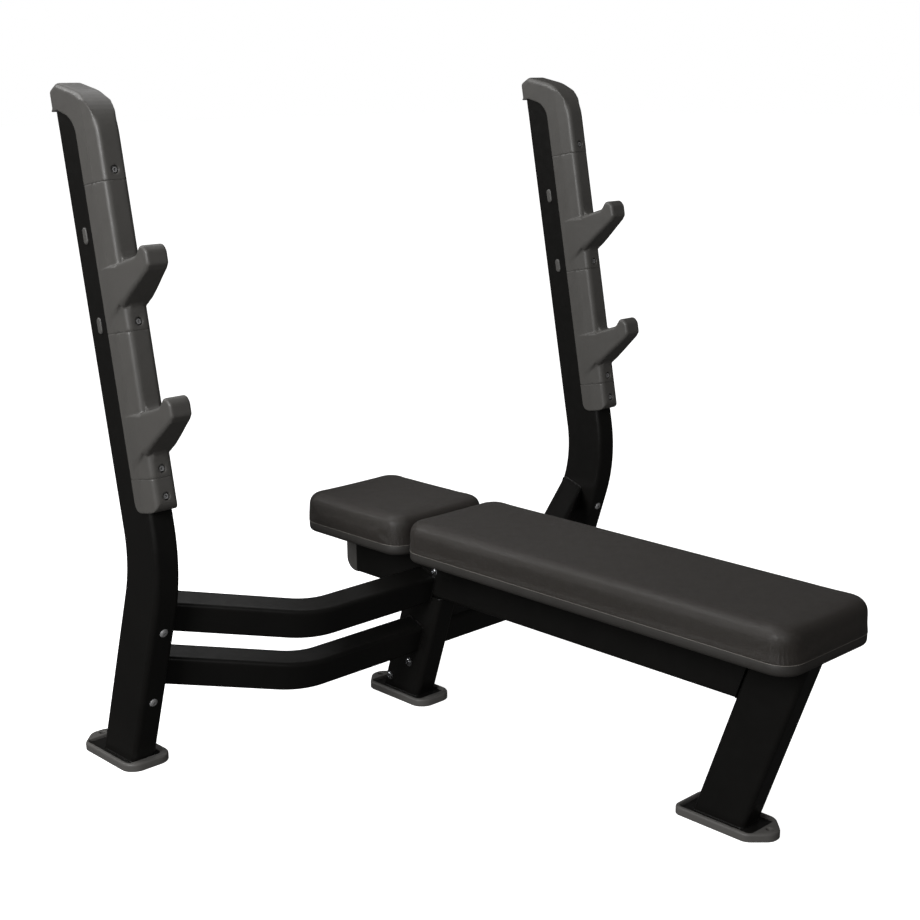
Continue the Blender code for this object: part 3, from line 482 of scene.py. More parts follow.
MAIN_SECTION = section(TUBE_WIDTH, TUBE_DEPTH, TUBE_CORNER)
CROSS_SECTION = section(CROSS_HEIGHT, CROSS_WIDTH, CROSS_CORNER)
X_AXIS, Y_AXIS, Z_AXIS = Vector((1, 0, 0)), Vector((0, 1, 0)), Vector((0, 0, 1))
FLOOR_CUT = (Vector((0, 0, PLATE_TOP + GAP)), Z_AXIS)


def lean_y(base, lean, height):
    return base - math.tan(lean) * height


def steel_tube(name, rings, node):
    piece(name, loft(rings), STEEL_BLACK, [node], sharp=40)


def uprights():
    for side, sign in SIDES:
        x = sign * UPRIGHT_X
        top_y = BEND_Y + math.tan(UPPER_LEAN) * (UPRIGHT_TOP - BEND_HEIGHT)
        path = bent_path((x, UPRIGHT_BASE_Y, 0.0), (x, BEND_Y, BEND_HEIGHT), (x, top_y, UPRIGHT_TOP),
                         BEND_RADIUS)
        rings = tube_rings(path, X_AXIS, MAIN_SECTION, FLOOR_CUT, (Vector((0, 0, UPRIGHT_TOP)), Z_AXIS))
        steel_tube(side + "_upright", rings, side + "_upright_tube")
        weld_bead(side + "_upright_base_weld", rings[0], Z_AXIS * WELD_PUSH)


def legs():
    for name, base, lean, top in (("rear_leg", REAR_LEG_BASE_Y, LOWER_LEAN, BEAM_BOTTOM - GAP),
                                  ("front_leg", FRONT_LEG_BASE_Y, FRONT_LEG_LEAN, BEAM_TOP)):
        path = [Vector((0, lean_y(base, lean, h), h)) for h in (0.0, top * 0.5, top)]
        rings = tube_rings(path, X_AXIS, MAIN_SECTION, FLOOR_CUT, (Vector((0, 0, top)), Z_AXIS))
        steel_tube(name, rings, name + "_tube")
        weld_bead(name + "_base_weld", rings[0], Z_AXIS * WELD_PUSH)
        if name == "rear_leg":
            weld_bead("rear_leg_beam_weld", rings[-1], -Z_AXIS * WELD_PUSH)


def beam():
    middle = BEAM_BOTTOM + TUBE_DEPTH / 2
    face_y = FRONT_LEG_BASE_Y + TUBE_DEPTH / 2 / math.cos(FRONT_LEG_LEAN) + GAP
    front = Vector((0, lean_y(face_y, FRONT_LEG_LEAN, middle), middle))
    slope = Vector((0, math.cos(FRONT_LEG_LEAN), math.sin(FRONT_LEG_LEAN)))
    path = [front, Vector((0, 0.0, middle)), Vector((0, BEAM_REAR, middle))]
    rings = tube_rings(path, X_AXIS, MAIN_SECTION, (front, slope), (path[-1], Y_AXIS))
    steel_tube("bench_beam", rings, "main_beam")
    weld_bead("beam_front_weld", rings[0], slope * WELD_PUSH)


CROSS_LEVELS = (("upper", 0.264), ("lower", 0.1485))
CROSS_BEND_X, CROSS_SWEEP, CROSS_BEND_RADIUS = 0.318, math.radians(31.2), 0.16


def cross_tubes():
    across = Vector((0, -math.sin(LOWER_LEAN), math.cos(LOWER_LEAN)))
    back = Vector((0, math.cos(LOWER_LEAN), math.sin(LOWER_LEAN)))
    for side, sign in SIDES:
        for level, height in CROSS_LEVELS:
            leg_y = lean_y(REAR_LEG_BASE_Y, LOWER_LEAN, height)
            corner = Vector((sign * CROSS_BEND_X, leg_y, height))
            run = Vector((sign, 0, 0)) * math.cos(CROSS_SWEEP) + back * math.sin(CROSS_SWEEP)
            near, far = sign * (TUBE_WIDTH / 2 + GAP), sign * (UPRIGHT_X - TUBE_WIDTH / 2 - GAP)
            end = corner + run * ((far - corner.x) / run.x)
            path = bent_path((near, leg_y, height), corner, end, CROSS_BEND_RADIUS)
            ends = [(Vector((x, 0, 0)), X_AXIS) for x in (near, far)]
            rings = tube_rings(path, across, CROSS_SECTION, *ends)
            name = side + "_" + level + "_cross"
            steel_tube(name, rings, name + "_tube")
            weld_bead(name + "_leg_weld", rings[0], Vector((sign * WELD_PUSH, 0, 0)))
            weld_bead(name + "_upright_weld", rings[-1], Vector((-sign * WELD_PUSH, 0, 0)))


# ------------------------------------------------------------------ moulded covers, in the cover's own frame
def cover_place(sign):
    """Local Z runs up the upright's front and local Y points back."""
    back = Vector((math.cos(UPPER_LEAN), -math.sin(UPPER_LEAN)))
    y, z = Vector((BEND_Y, BEND_HEIGHT)) - back * (COVER_FRONT + TUBE_DEPTH / 2)
    return Matrix.Translation((sign * UPRIGHT_X, y, z)) @ Matrix.Rotation(-UPPER_LEAN, 4, "X")


BORE_RADIUS, BORE_DEPTH = 0.0072, 0.0078      # counterbores for the cover screws
END_SCREW, HOOK_SCREW, CAP_SCREW = 0.0265, 0.0155, 0.0175      # how far above each cover's lower seam


def cylinder(radius, low, high, sides=40):
    ring = [Vector((radius * math.cos(math.tau * k / sides), radius * math.sin(math.tau * k / sides), 0.0))
            for k in range(sides)]
    return loft([[p + Z_AXIS * level for p in ring] for level in (low, high)])


def screw_bore(station):
    """Cutter for a screw's counterbore in a cover's nose."""
    bore = raw_object("bore", cylinder(BORE_RADIUS, COVER_NOSE - BORE_DEPTH, 0.03))
    bore.matrix_world = Matrix.Translation((0, 0, station)) @ Matrix.Rotation(math.pi / 2, 4, "X")
    return bore


def channel_cutter(low, high):
    """Cutter for the channel that takes the tube, open at the back."""
    half = TUBE_WIDTH / 2 + FIT
    plan = [(-half, COVER_FRONT - FIT, TUBE_CORNER), (half, COVER_FRONT - FIT, TUBE_CORNER),
            (half, 0.2, 0.0), (-half, 0.2, 0.0)]
    return raw_object("channel", slab(plan, low, high))


def cover_body(low, high):
    """Solid between two heights, with a narrow nose, folded sides and a flat back."""
    plan = [(-NOSE_HALF, -COVER_NOSE, COVER_CORNER), (NOSE_HALF, -COVER_NOSE, COVER_CORNER),
            (COVER_HALF, COVER_FOLD, COVER_FOLD_RADIUS), (COVER_HALF, COVER_WRAP, 0.0),
            (-COVER_HALF, COVER_WRAP, 0.0), (-COVER_HALF, COVER_FOLD, COVER_FOLD_RADIUS)]
    return raw_object("cover", slab(plan, low, high, steps=10))


def taper_nose(thing):
    """Narrow a straight-sided cover ahead of the fold, as its neighbours narrow."""
    solid = bmesh.new()
    solid.from_mesh(thing.data)
    bmesh.ops.bisect_plane(solid, geom=solid.verts[:] + solid.edges[:] + solid.faces[:],
                           plane_co=(0.0, COVER_FOLD, 0.0), plane_no=(0.0, 1.0, 0.0))
    for vertex in solid.verts:
        ahead = max(COVER_FOLD - vertex.co.y, 0.0) / (COVER_FOLD + COVER_NOSE)
        vertex.co.x *= 1.0 + (NOSE_HALF / COVER_HALF - 1.0) * ahead
    solid.to_mesh(thing.data)
    solid.free()


# side view of a hook (y, z above its root) with a rounding for each corner, from the underside round
# by the horn's tip to the top, and of the fillets over and under it, where it leaves the nose
HOOK_SIDE = [(0.045, -0.028), (-0.004, 0.0026), (-0.088, 0.057), (-0.097, 0.066), (-0.097, 0.089),
             (-0.0885, 0.1005), (-0.078, 0.1005), (-0.0655, 0.086), (-0.012, 0.0786), (0.045, 0.0725)]
HOOK_ROUNDING = (0.0, 0.0, 0.012, 0.008, 0.012, 0.012, 0.008, 0.011, 0.0, 0.0)
HOOK_VALLEY_END, HOOK_BACK = HOOK_SIDE[7][0], HOOK_SIDE[0][0]
HOOK_FILLETS = (
    [(-0.005, 0.071, 0.0), (-0.024, 0.0796, 0.0), (-0.0085, 0.0786, 0.013),
     (-0.0085, 0.095, 0.0), (-0.005, 0.095, 0.0)],
    [(-0.005, -0.008, 0.0), (-0.005, 0.015, 0.0), (-0.021, 0.0140, 0.0),
     (-0.0085, 0.0058, 0.016), (-0.0085, -0.008, 0.0)])


def ease(value):
    """Blend smoothly from 0 to 1."""
    value = max(0.0, min(1.0, value))
    return value * value * (3.0 - 2.0 * value)


def left_of(a, b, y, z):
    """Distance of a side-view point to the left of the line from a to b."""
    along = Vector(b) - Vector(a)
    return along.cross(Vector((y, z)) - Vector(a)) / along.length


def widen_hook(co):
    """Swell the hook's cheeks beside the cover's nose and taper them to the tip of the horn."""
    y, z = co.y, co.z - HOOK_ROOT
    if not -0.034 < z < 0.108 or y > 0.047:
        return co
    reach = max(HOOK_VALLEY_END, min(HOOK_BACK, y))
    width = 0.0308 + 0.00453 * reach - 1.2363 * reach * reach + 0.11 * (y - reach)
    under_top = ease((left_of(HOOK_SIDE[-1], HOOK_SIDE[-2], y, z) + 0.0008) / 0.0030)
    over_low = ease(left_of(HOOK_SIDE[1], HOOK_SIDE[0], y, z) / 0.012)
    share = 1.0 - ease((y + 0.020) / 0.012) * (1.0 - under_top * over_low)
    return Vector((co.x * (1.0 + (width / COVER_HALF - 1.0) * share), co.y, co.z))


def hook_cover_mesh():
    """One hook module, with its lower seam at local Z 0."""
    cover = cover_body(-0.006, PITCH + 0.006)
    outline = [(y, HOOK_ROOT + z, r) for (y, z), r in zip(HOOK_SIDE, HOOK_ROUNDING)]
    hook = raw_object("hook", slab(outline, -COVER_HALF, COVER_HALF, along="X", steps=8))
    round_edges(hook, 0.0070, 4, lambda a, b: max(a.y, b.y) < 0.040)
    cut(cover, hook, "UNION")
    fillets = []
    for side_view in HOOK_FILLETS:
        corners = [(y, HOOK_ROOT + z, r) for y, z, r in side_view]
        fillet = raw_object("fillet", slab(corners, -0.014, 0.014, along="X", steps=8))
        cut(cover, fillet, "UNION")
        fillets.append(fillet)
    channel = channel_cutter(-0.02, PITCH + 0.02)
    cut(cover, channel)
    bore = screw_bore(HOOK_SCREW)
    cut(cover, bore)
    bake(cover)
    soften(cover, 0.0013, 7, warp=widen_hook)
    trim_between(cover, 0.0, PITCH)
    mesh = cover.data
    drop(cover, hook, channel, bore, *fillets)
    return mesh


def end_cover_mesh():
    """Short guard below the lower hook, with its lower end at local Z 0."""
    height = SEAM_LOW - COVER_END
    cover = cover_body(-0.02, height + 0.006)
    outline = [(-COVER_NOSE, 0.0, 0.019), (COVER_WRAP, 0.0, 0.017),
               (COVER_WRAP, height + 0.01, 0.0), (-COVER_NOSE, height + 0.01, 0.0)]
    keep = raw_object("keep", slab(outline, -0.1, 0.1, along="X", steps=10))
    cut(cover, keep, "INTERSECT")
    channel = channel_cutter(-0.05, height + 0.02)
    cut(cover, channel)
    bore = screw_bore(END_SCREW)
    cut(cover, bore)
    bake(cover)
    soften(cover, 0.0011, 6)
    trim_between(cover, -0.05, height)
    mesh = cover.data
    drop(cover, keep, channel, bore)
    return mesh


def top_cap_mesh():
    """Cap over the upright's top, with its lower seam at local Z 0."""
    low = SEAM_LOW + 2 * PITCH
    skirt, rear = 0.8195 - low, COVER_FRONT + TUBE_DEPTH + 0.008
    profile = [(-COVER_NOSE, -0.006, 0.0), (COVER_WRAP, -0.006, 0.0), (COVER_WRAP, 0.796 - low, 0.045),
               (0.106, skirt, 0.0), (rear, skirt, 0.004), (rear, 0.857 - low, 0.009),
               (0.100, 0.8666 - low, 0.014), (-COVER_NOSE, 0.823 - low, 0.095)]
    cap = raw_object("cap", slab(profile, -COVER_HALF, COVER_HALF, along="X", steps=12))
    round_edges(cap, 0.0095, 5, lambda a, b: all(v.y < 0.001 or v.z > skirt + 0.002 for v in (a, b)))
    taper_nose(cap)
    half, half_depth = TUBE_WIDTH / 2 + FIT, TUBE_DEPTH / 2 + FIT
    middle = COVER_FRONT + TUBE_DEPTH / 2
    tube = rectangle(-half, half, middle - half_depth, middle + half_depth, TUBE_CORNER)
    socket = raw_object("socket", slab(tube, -0.1, 0.9))
    level = raw_object("level", slab(rectangle(-0.4, 0.4, -0.4, 0.4, 0.0), UPRIGHT_TOP + 0.0006, 2.0))
    frame_place = cover_place(0.0) @ Matrix.Translation((0, 0, low))
    level.matrix_world = frame_place.inverted() @ Matrix.Translation((0, frame_place.translation.y, 0))
    cut(socket, level)
    bake(socket)
    cut(cap, socket)
    bore = screw_bore(CAP_SCREW)
    cut(cap, bore)
    bake(cap)
    soften(cap, 0.0012, 7)
    trim_between(cap, 0.0, 0.5)
    mesh = cap.data
    drop(cap, socket, level, bore)
    return mesh


def turned(profile, sides=36):
    """Turn a profile of (radius, height) points about Z; it starts and ends on the axis or is capped."""
    rings = [[Vector((r * math.cos(math.tau * k / sides), r * math.sin(math.tau * k / sides), h))
              for k in range(sides)] for r, h in profile]
    return loft(rings)


def socket_cut(mesh, radius, low):
    """Sink a hexagonal socket in a turned head."""
    head = raw_object("head", mesh)
    hexagon = raw_object("hexagon", cylinder(radius, low, 0.05, sides=6))
    cut(head, hexagon)
    bake(head)
    result = head.data
    drop(head, hexagon)
    return result


def cap_screw_mesh():
    """Socket cap screw standing on local Z 0, with a washer under its head."""
    profile = [(0.0001, 0.0), (0.0062, 0.0), (0.0062, 0.0010), (0.0050, 0.0011), (0.0050, 0.0052),
               (0.0046, 0.0057), (0.0001, 0.0057)]
    return socket_cut(turned(profile), 0.0028, 0.0024)


def dome_mesh(radius, height, flange):
    """Low round head on a flat washer, with a hexagonal socket."""
    profile = [(0.0001, 0.0), (radius * flange, 0.0), (radius * flange, 0.0009), (radius, 0.0012)]
    for k in range(1, 9):
        angle = math.pi / 2 * k / 9
        profile.append((radius * math.cos(angle), 0.0012 + (height - 0.0012) * math.sin(angle)))
    profile.append((0.0001, height))
    return socket_cut(turned(profile), radius * 0.42, height * 0.45)


def covers():
    hook, end, cap, screw = hook_cover_mesh(), end_cover_mesh(), top_cap_mesh(), cap_screw_mesh()
    seat = Matrix.Translation((0, 0, 0.0002 + COVER_NOSE - BORE_DEPTH))
    forward = Matrix.Rotation(math.pi / 2, 4, "X")
    for side, sign in SIDES:
        place = cover_place(sign)

        def put(name, mesh, base, nodes, material=COVER_GREY, more=Matrix()):
            piece(side + name, mesh.copy(), material, [side + n for n in nodes],
                  place @ Matrix.Translation((0, 0, base)) @ more, sharp=50)

        put("_end_guard", end, COVER_END, ["_end_cover"])
        put("_lower_hook_guard", hook, SEAM_LOW, ["_lower_hook_cover"])
        put("_upper_hook_guard", hook, SEAM_LOW + PITCH, ["_upper_hook_cover"])
        put("_top_guard", cap, SEAM_LOW + 2 * PITCH, ["_top_cap"])
        for name, station in (("_end_screw", COVER_END + END_SCREW),
                              ("_lower_hook_screw", SEAM_LOW + HOOK_SCREW),
                              ("_upper_hook_screw", SEAM_LOW + PITCH + HOOK_SCREW),
                              ("_cap_screw", SEAM_LOW + 2 * PITCH + CAP_SCREW)):
            put(name + "_head", screw, station, [name], PALE_ZINC, forward @ seat)


SLOT_BACK, SLOT_STATIONS = 0.080, (0.4416, 0.5989)
PLUG_HALF_WIDTH, PLUG_HALF_LENGTH, PLUG_ROUNDING = 0.0064, 0.0146, 0.0063
# a slot plug's outlines, as (inset, distance out)
PLUG_STEPS = ((0.0, 0.0), (0.0, 0.0012), (0.0006, 0.0020), (0.0018, 0.0026), (0.0034, 0.0028))
FRONT_PLUG_HEIGHTS = (0.139, 0.288)
FACE_LIFT = 0.0002               # between a tube's face and a head or plug on it


def plugs():
    """Slot plugs on both faces of each upright, and the domed plugs on its lower front."""
    dome = dome_mesh(0.0078, 0.0042, 1.05)
    rings = []
    for inset, out in PLUG_STEPS:
        half_width, half_length = PLUG_HALF_WIDTH - inset, PLUG_HALF_LENGTH - inset
        outline = round_corners(rectangle(-half_width, half_width, -half_length, half_length,
                                          PLUG_ROUNDING - inset), 10)
        rings.append([Vector((out, p.x, p.y)) for p in outline])
    pill = loft(rings)
    for side, sign in SIDES:
        place = cover_place(sign)
        for number, station in enumerate(SLOT_STATIONS, 1):
            name = side + "_slot_plug_" + str(number)
            for face, turn in (("outer", sign), ("inner", -sign)):
                at = place @ Matrix.Translation((turn * (TUBE_WIDTH / 2 + FACE_LIFT), SLOT_BACK, station))
                at = at @ Matrix.Diagonal((turn, 1.0, 1.0, 1.0))
                mesh = pill.copy()
                if turn < 0:
                    mesh.flip_normals()
                nodes = [name] if face == "outer" else []
                piece(name + "_" + face, mesh, PLUG_GREY, nodes, at)
        for number, height in enumerate(FRONT_PLUG_HEIGHTS, 1):
            y = lean_y(UPRIGHT_BASE_Y, LOWER_LEAN, height) - TUBE_DEPTH / 2 / math.cos(LOWER_LEAN)
            at = Matrix.Translation((sign * UPRIGHT_X, y, height))
            at = at @ Matrix.Rotation(math.pi / 2 + LOWER_LEAN, 4, "X")
            name = side + "_front_plug_" + str(number)
            piece(name + "_dome", dome.copy(), PALE_ZINC, [name], at)


def bolts():
    small, large = dome_mesh(0.0068, 0.0050, 1.2), dome_mesh(0.0076, 0.0056, 1.2)
    for name, mesh, sign, y, z in (("rear_leg_bolt_1", large, -1, 0.348, 0.082),
                                   ("rear_leg_bolt_2", large, -1, 0.409, 0.036),
                                   ("left_beam_bolt", small, -1, 0.266, 0.298),
                                   ("right_beam_bolt", small, 1, 0.266, 0.298)):
        at = Matrix.Translation((sign * (TUBE_WIDTH / 2 + FACE_LIFT), y, z))
        at = at @ Matrix.Rotation(sign * math.pi / 2, 4, "Y")
        piece(name + "_head", mesh.copy(), ZINC, [name], at)


# ------------------------------------------------------------------ feet
TAB_LENGTH, TAB_CUT, TAB_TURN = 0.029, 0.034, 0.026
# plain end of a foot: length to the tray, corner cut and rounding
TOE, HEEL = (0.0175, 0.018, 0.028), (0.008, 0.010, 0.016)
# each foot's name, X range, tray's X range, Y of its plain end and of its tab end, and its plain end
FEET = (("left", (-0.637, -0.5385), (-0.629, -0.556), 0.447, 0.642, TOE),
        ("right", (0.5385, 0.637), (0.556, 0.629), 0.447, 0.642, TOE),
        ("rear_leg", (-0.045, 0.045), (-0.037, 0.037), 0.290, 0.485, TOE),
        ("front_leg", (-0.045, 0.045), (-0.037, 0.037), -0.359, -0.5495, HEEL))
# outlines stacked to make each shape, as (inset or growth, height)
FOOT_STEPS = ((0.0012, 0.0), (0.0, 0.0012), (0.0, 0.0115), (0.0004, 0.0132), (0.0015, 0.0146),
              (0.0034, 0.0155))
TRAY_STEPS = ((-0.0010, 0.0027), (0.0, 0.0037), (0.0, 0.0138), (0.0005, 0.0148), (0.0014, 0.0156),
              (0.005, 0.02))
PLATE_STEPS = ((0.0003, 0.0030), (0.0003, 0.0092), (0.0006, 0.0098), (0.0012, PLATE_TOP))
ANCHOR_HOLE = [(0.0055, 0.0020), (0.0055, 0.0130), (0.0060, 0.0148), (0.0078, 0.0163), (0.0078, 0.03)]
TRAY_CORNER = 0.009


def foot_ring(x_low, x_high, plain, tab, plain_cut, plain_turn, inset, z):
    """Plan of a foot with its corners cut off and rounded, brought in by an inset, at one height."""
    inward = math.copysign(1.0, tab - plain)
    trim = inset * (2.0 - math.sqrt(2.0))
    x_low, x_high, plain, tab = x_low + inset, x_high - inset, plain + inward * inset, tab - inward * inset
    low_cut, tab_cut = plain_cut - trim, TAB_CUT - trim
    near, far = plain + inward * low_cut, tab - inward * tab_cut
    turn, tab_turn = plain_turn - inset, TAB_TURN - inset
    corners = [(x_low + low_cut, plain, turn), (x_high - low_cut, plain, turn), (x_high, near, turn),
               (x_high, far, tab_turn), (x_high - tab_cut, tab, tab_turn),
               (x_low + tab_cut, tab, tab_turn), (x_low, far, tab_turn), (x_low, near, turn)]
    outline = round_corners(corners, 6)
    return [Vector((p.x, p.y, z)) for p in outline]


def feet():
    """Moulded feet with a raised rim round the tray, and the base plates under the tubes."""
    for name, (x_low, x_high), x_tray, plain, tab, (toe, plain_cut, plain_turn) in FEET:
        inward = math.copysign(1.0, tab - plain)
        rings = [foot_ring(x_low, x_high, plain, tab, plain_cut, plain_turn, inset, z)
                 for inset, z in FOOT_STEPS]
        foot = raw_object("foot", loft(rings))
        low, high = sorted((plain + inward * toe, tab - inward * TAB_LENGTH))

        def tray_ring(grow, z):
            outline = round_corners(rectangle(x_tray[0] - grow, x_tray[1] + grow, low - grow, high + grow,
                                              TRAY_CORNER + grow), 8)
            return [Vector((p.x, p.y, z)) for p in outline]

        tray = raw_object("tray", loft([tray_ring(grow, z) for grow, z in TRAY_STEPS]))
        hole = raw_object("hole", turned(ANCHOR_HOLE))
        hole.matrix_world = Matrix.Translation(((x_low + x_high) / 2, tab - inward * 0.0165, 0))
        cut(foot, tray)
        cut(foot, hole)
        bake(foot)
        mesh = foot.data
        drop(foot, tray, hole)
        piece(name + "_foot_moulding", mesh, FOOT_GREY, [name + "_foot"], sharp=28)
        plate = loft([tray_ring(-inset, z) for inset, z in PLATE_STEPS])
        piece(name + "_plate", plate, STEEL_BLACK, [name + "_base_plate"])


def beam_cap():
    half, rear = TUBE_WIDTH / 2, BEAM_REAR + 0.035
    profile = [(BEAM_REAR + GAP, BEAM_BOTTOM, 0.0), (rear, BEAM_BOTTOM, 0.028), (rear, BEAM_TOP, 0.006),
               (BEAM_REAR + GAP, BEAM_TOP, 0.0)]
    cap = raw_object("cap", slab(profile, -half, half, along="X", steps=12))
    round_edges(cap, 0.007, 5, lambda a, b: max(a.y, b.y) > BEAM_REAR + 0.001, clamp=True)
    mesh = cap.data
    drop(cap)
    piece("beam_end_moulding", mesh, FOOT_GREY, ["beam_end_cap"], sharp=40)


# ------------------------------------------------------------------ pads
PAD_HALF, PAD_UNDER, PAD_SEAM, PAD_TOP, PAD_CORNER = 0.127, 0.3471, 0.368, 0.427, 0.0415
PADS = (("main_pad", -0.642, 0.2518), ("head_pad", 0.2622, 0.5632))
SHOULDER_FALL, SHOULDER_RISE, SHOULDER_SPREAD = 0.024, 0.0228, 0.0205
SHELL_INSET, SHELL_SIDE, SHELL_ROUND_RISE, SHELL_ROUND_SPREAD = 0.0010, 0.011, 0.0099, 0.0090
SWELL_LIMIT, GATHER_DEPTH, GATHER_HEIGHT, WELT_RADIUS = 0.0016, 0.0005, 0.030, 0.0005


def pad_ring(y_low, y_high, inset, z, steps=14):
    outline = round_corners(rectangle(-PAD_HALF + inset, PAD_HALF - inset, y_low + inset, y_high - inset,
                                      max(PAD_CORNER - inset, 0.006)), steps)
    return [Vector((p.x, p.y, z)) for p in outline]


def cushion_blank(y_low, y_high):
    """Cushion before it is filled, with rounded shoulders and a skirt that is cut off at the seam."""
    steps = [(0.010, PAD_SEAM - 0.012), (0.0010, PAD_SEAM - 0.011), (0.0004, PAD_SEAM + 0.004),
             (0.0002, PAD_TOP - SHOULDER_FALL)]
    for k in range(1, 7):
        turn = math.pi / 2 * k / 6
        steps.append((0.0002 + SHOULDER_SPREAD * (1 - math.cos(turn)),
                      PAD_TOP - SHOULDER_FALL + SHOULDER_RISE * math.sin(turn)))
    return loft([pad_ring(y_low, y_high, inset, z) for inset, z in steps])


def shell_mesh(y_low, y_high):
    """Moulded shell under a cushion, rounded into its underside."""
    steps = [(0.0040, PAD_SEAM), (0.0014, PAD_SEAM), (SHELL_INSET, PAD_SEAM - 0.0006),
             (SHELL_INSET, PAD_SEAM - SHELL_SIDE)]
    for k in range(1, 9):
        turn = math.pi / 2 * k / 8
        steps.append((SHELL_INSET + SHELL_ROUND_SPREAD * (1 - math.cos(turn)),
                      PAD_SEAM - SHELL_SIDE - SHELL_ROUND_RISE * math.sin(turn)))
    steps.append((0.018, PAD_UNDER))
    return loft([pad_ring(y_low, y_high, inset, z) for inset, z in steps])


def welt_mesh(y_low, y_high):
    """Thin cord of piping all round a cushion's seam."""
    path = pad_ring(y_low, y_high, 0.0009, PAD_SEAM + 0.0001, 16)
    rings = []
    for i, point in enumerate(path):
        tangent = (path[(i + 1) % len(path)] - path[i - 1]).normalized()
        outward = tangent.cross(Z_AXIS)
        rings.append([point + (outward * math.cos(t) + Z_AXIS * math.sin(t)) * WELT_RADIUS
                      for t in (math.tau * k / 8 for k in range(8))])
    rings.append(rings[0])
    return loft(rings, closed_ends=False)


def inflate(thing):
    """Swell a cushion by a short cloth simulation, held below the seam and capped in travel."""
    remesh = thing.modifiers.new("remesh", "REMESH")
    remesh.mode, remesh.voxel_size = "VOXEL", 0.0055
    bake(thing)
    start = [v.co.copy() for v in thing.data.vertices]
    held = thing.vertex_groups.new(name="held")
    held.add([i for i, co in enumerate(start) if co.z < PAD_SEAM + 0.004], 1.0, "REPLACE")
    cloth = thing.modifiers.new("cloth", "CLOTH")
    settings = cloth.settings
    settings.quality = 6
    settings.mass = 0.3
    settings.tension_stiffness = settings.compression_stiffness = 18.0
    settings.bending_stiffness = 2.0
    settings.use_pressure = True
    settings.uniform_pressure_force = 4.0
    settings.effector_weights.gravity = 0.0
    settings.vertex_group_mass = "held"
    cloth.collision_settings.use_collision = False
    cloth.point_cache.frame_start, cloth.point_cache.frame_end = 1, 20
    for step in range(1, 21):
        scene.frame_set(step)
    graph = bpy.context.evaluated_depsgraph_get()
    moved = [v.co.copy() for v in thing.evaluated_get(graph).data.vertices]
    thing.modifiers.clear()
    for vertex, a, b in zip(thing.data.vertices, start, moved):
        travel = b - a
        if travel.length > SWELL_LIMIT:
            travel *= SWELL_LIMIT / travel.length
        vertex.co = a + travel
    scene.frame_set(1)
    smooth = thing.modifiers.new("smooth", "SMOOTH")
    smooth.factor, smooth.iterations = 0.5, 4
    finer = thing.modifiers.new("finer", "SUBSURF")
    finer.levels = finer.render_levels = 1
    bake(thing)
    solid = bmesh.new()
    solid.from_mesh(thing.data)
    bmesh.ops.bisect_plane(solid, geom=solid.verts[:] + solid.edges[:] + solid.faces[:], clear_inner=True,
                           plane_co=(0.0, 0.0, PAD_SEAM + GAP), plane_no=(0.0, 0.0, 1.0))
    bmesh.ops.contextual_create(solid, geom=[edge for edge in solid.edges if edge.is_boundary])
    bmesh.ops.recalc_face_normals(solid, faces=solid.faces)
    solid.to_mesh(thing.data)
    solid.free()


def gather_corners(mesh, y_low, y_high):
    """Small vertical gathers where the vinyl is pulled round each corner, fading up from the seam."""
    middle = (y_low + y_high) / 2
    for vertex in mesh.vertices:
        co = vertex.co
        rise = (co.z - PAD_SEAM) / GATHER_HEIGHT
        if not 0.0 <= rise <= 1.0:
            continue
        corner_x = math.copysign(PAD_HALF - PAD_CORNER, co.x)
        corner_y = y_low + PAD_CORNER if co.y < middle else y_high - PAD_CORNER
        offset = Vector((co.x - corner_x, co.y - corner_y))
        outside = offset.x * corner_x >= 0.0 and offset.y * (corner_y - middle) >= 0.0
        if not outside or offset.length < 0.02:
            continue
        angle = math.atan2(abs(offset.y), abs(offset.x))
        fade = math.sin(2 * angle) * (1.0 - rise) ** 1.5
        depth = GATHER_DEPTH * fade * math.sin(angle * 34.0 + co.z * 60.0)
        direction = offset.normalized()
        co.x += direction.x * depth
        co.y += direction.y * depth


def pads():
    for name, y_low, y_high in PADS:
        cushion = raw_object("cushion", cushion_blank(y_low, y_high))
        inflate(cushion)
        mesh = cushion.data
        drop(cushion)
        gather_corners(mesh, y_low, y_high)
        made = piece(name + "_upholstery", mesh, VINYL, [name + "_cushion"], sharp=None)
        piece(name + "_lower_shell", shell_mesh(y_low, y_high), SHELL_BLACK,
              [name + "_shell", name + "_board"], sharp=40)
        piece(name + "_seam_welt", welt_mesh(y_low, y_high), WELT, sharp=None)


# ------------------------------------------------------------------ studio
AMBIENT = (0.20, 0.37)           # studio ambience from straight below to straight above
GLOSS_AMBIENT = 0.03             # what polished surfaces see between the lights


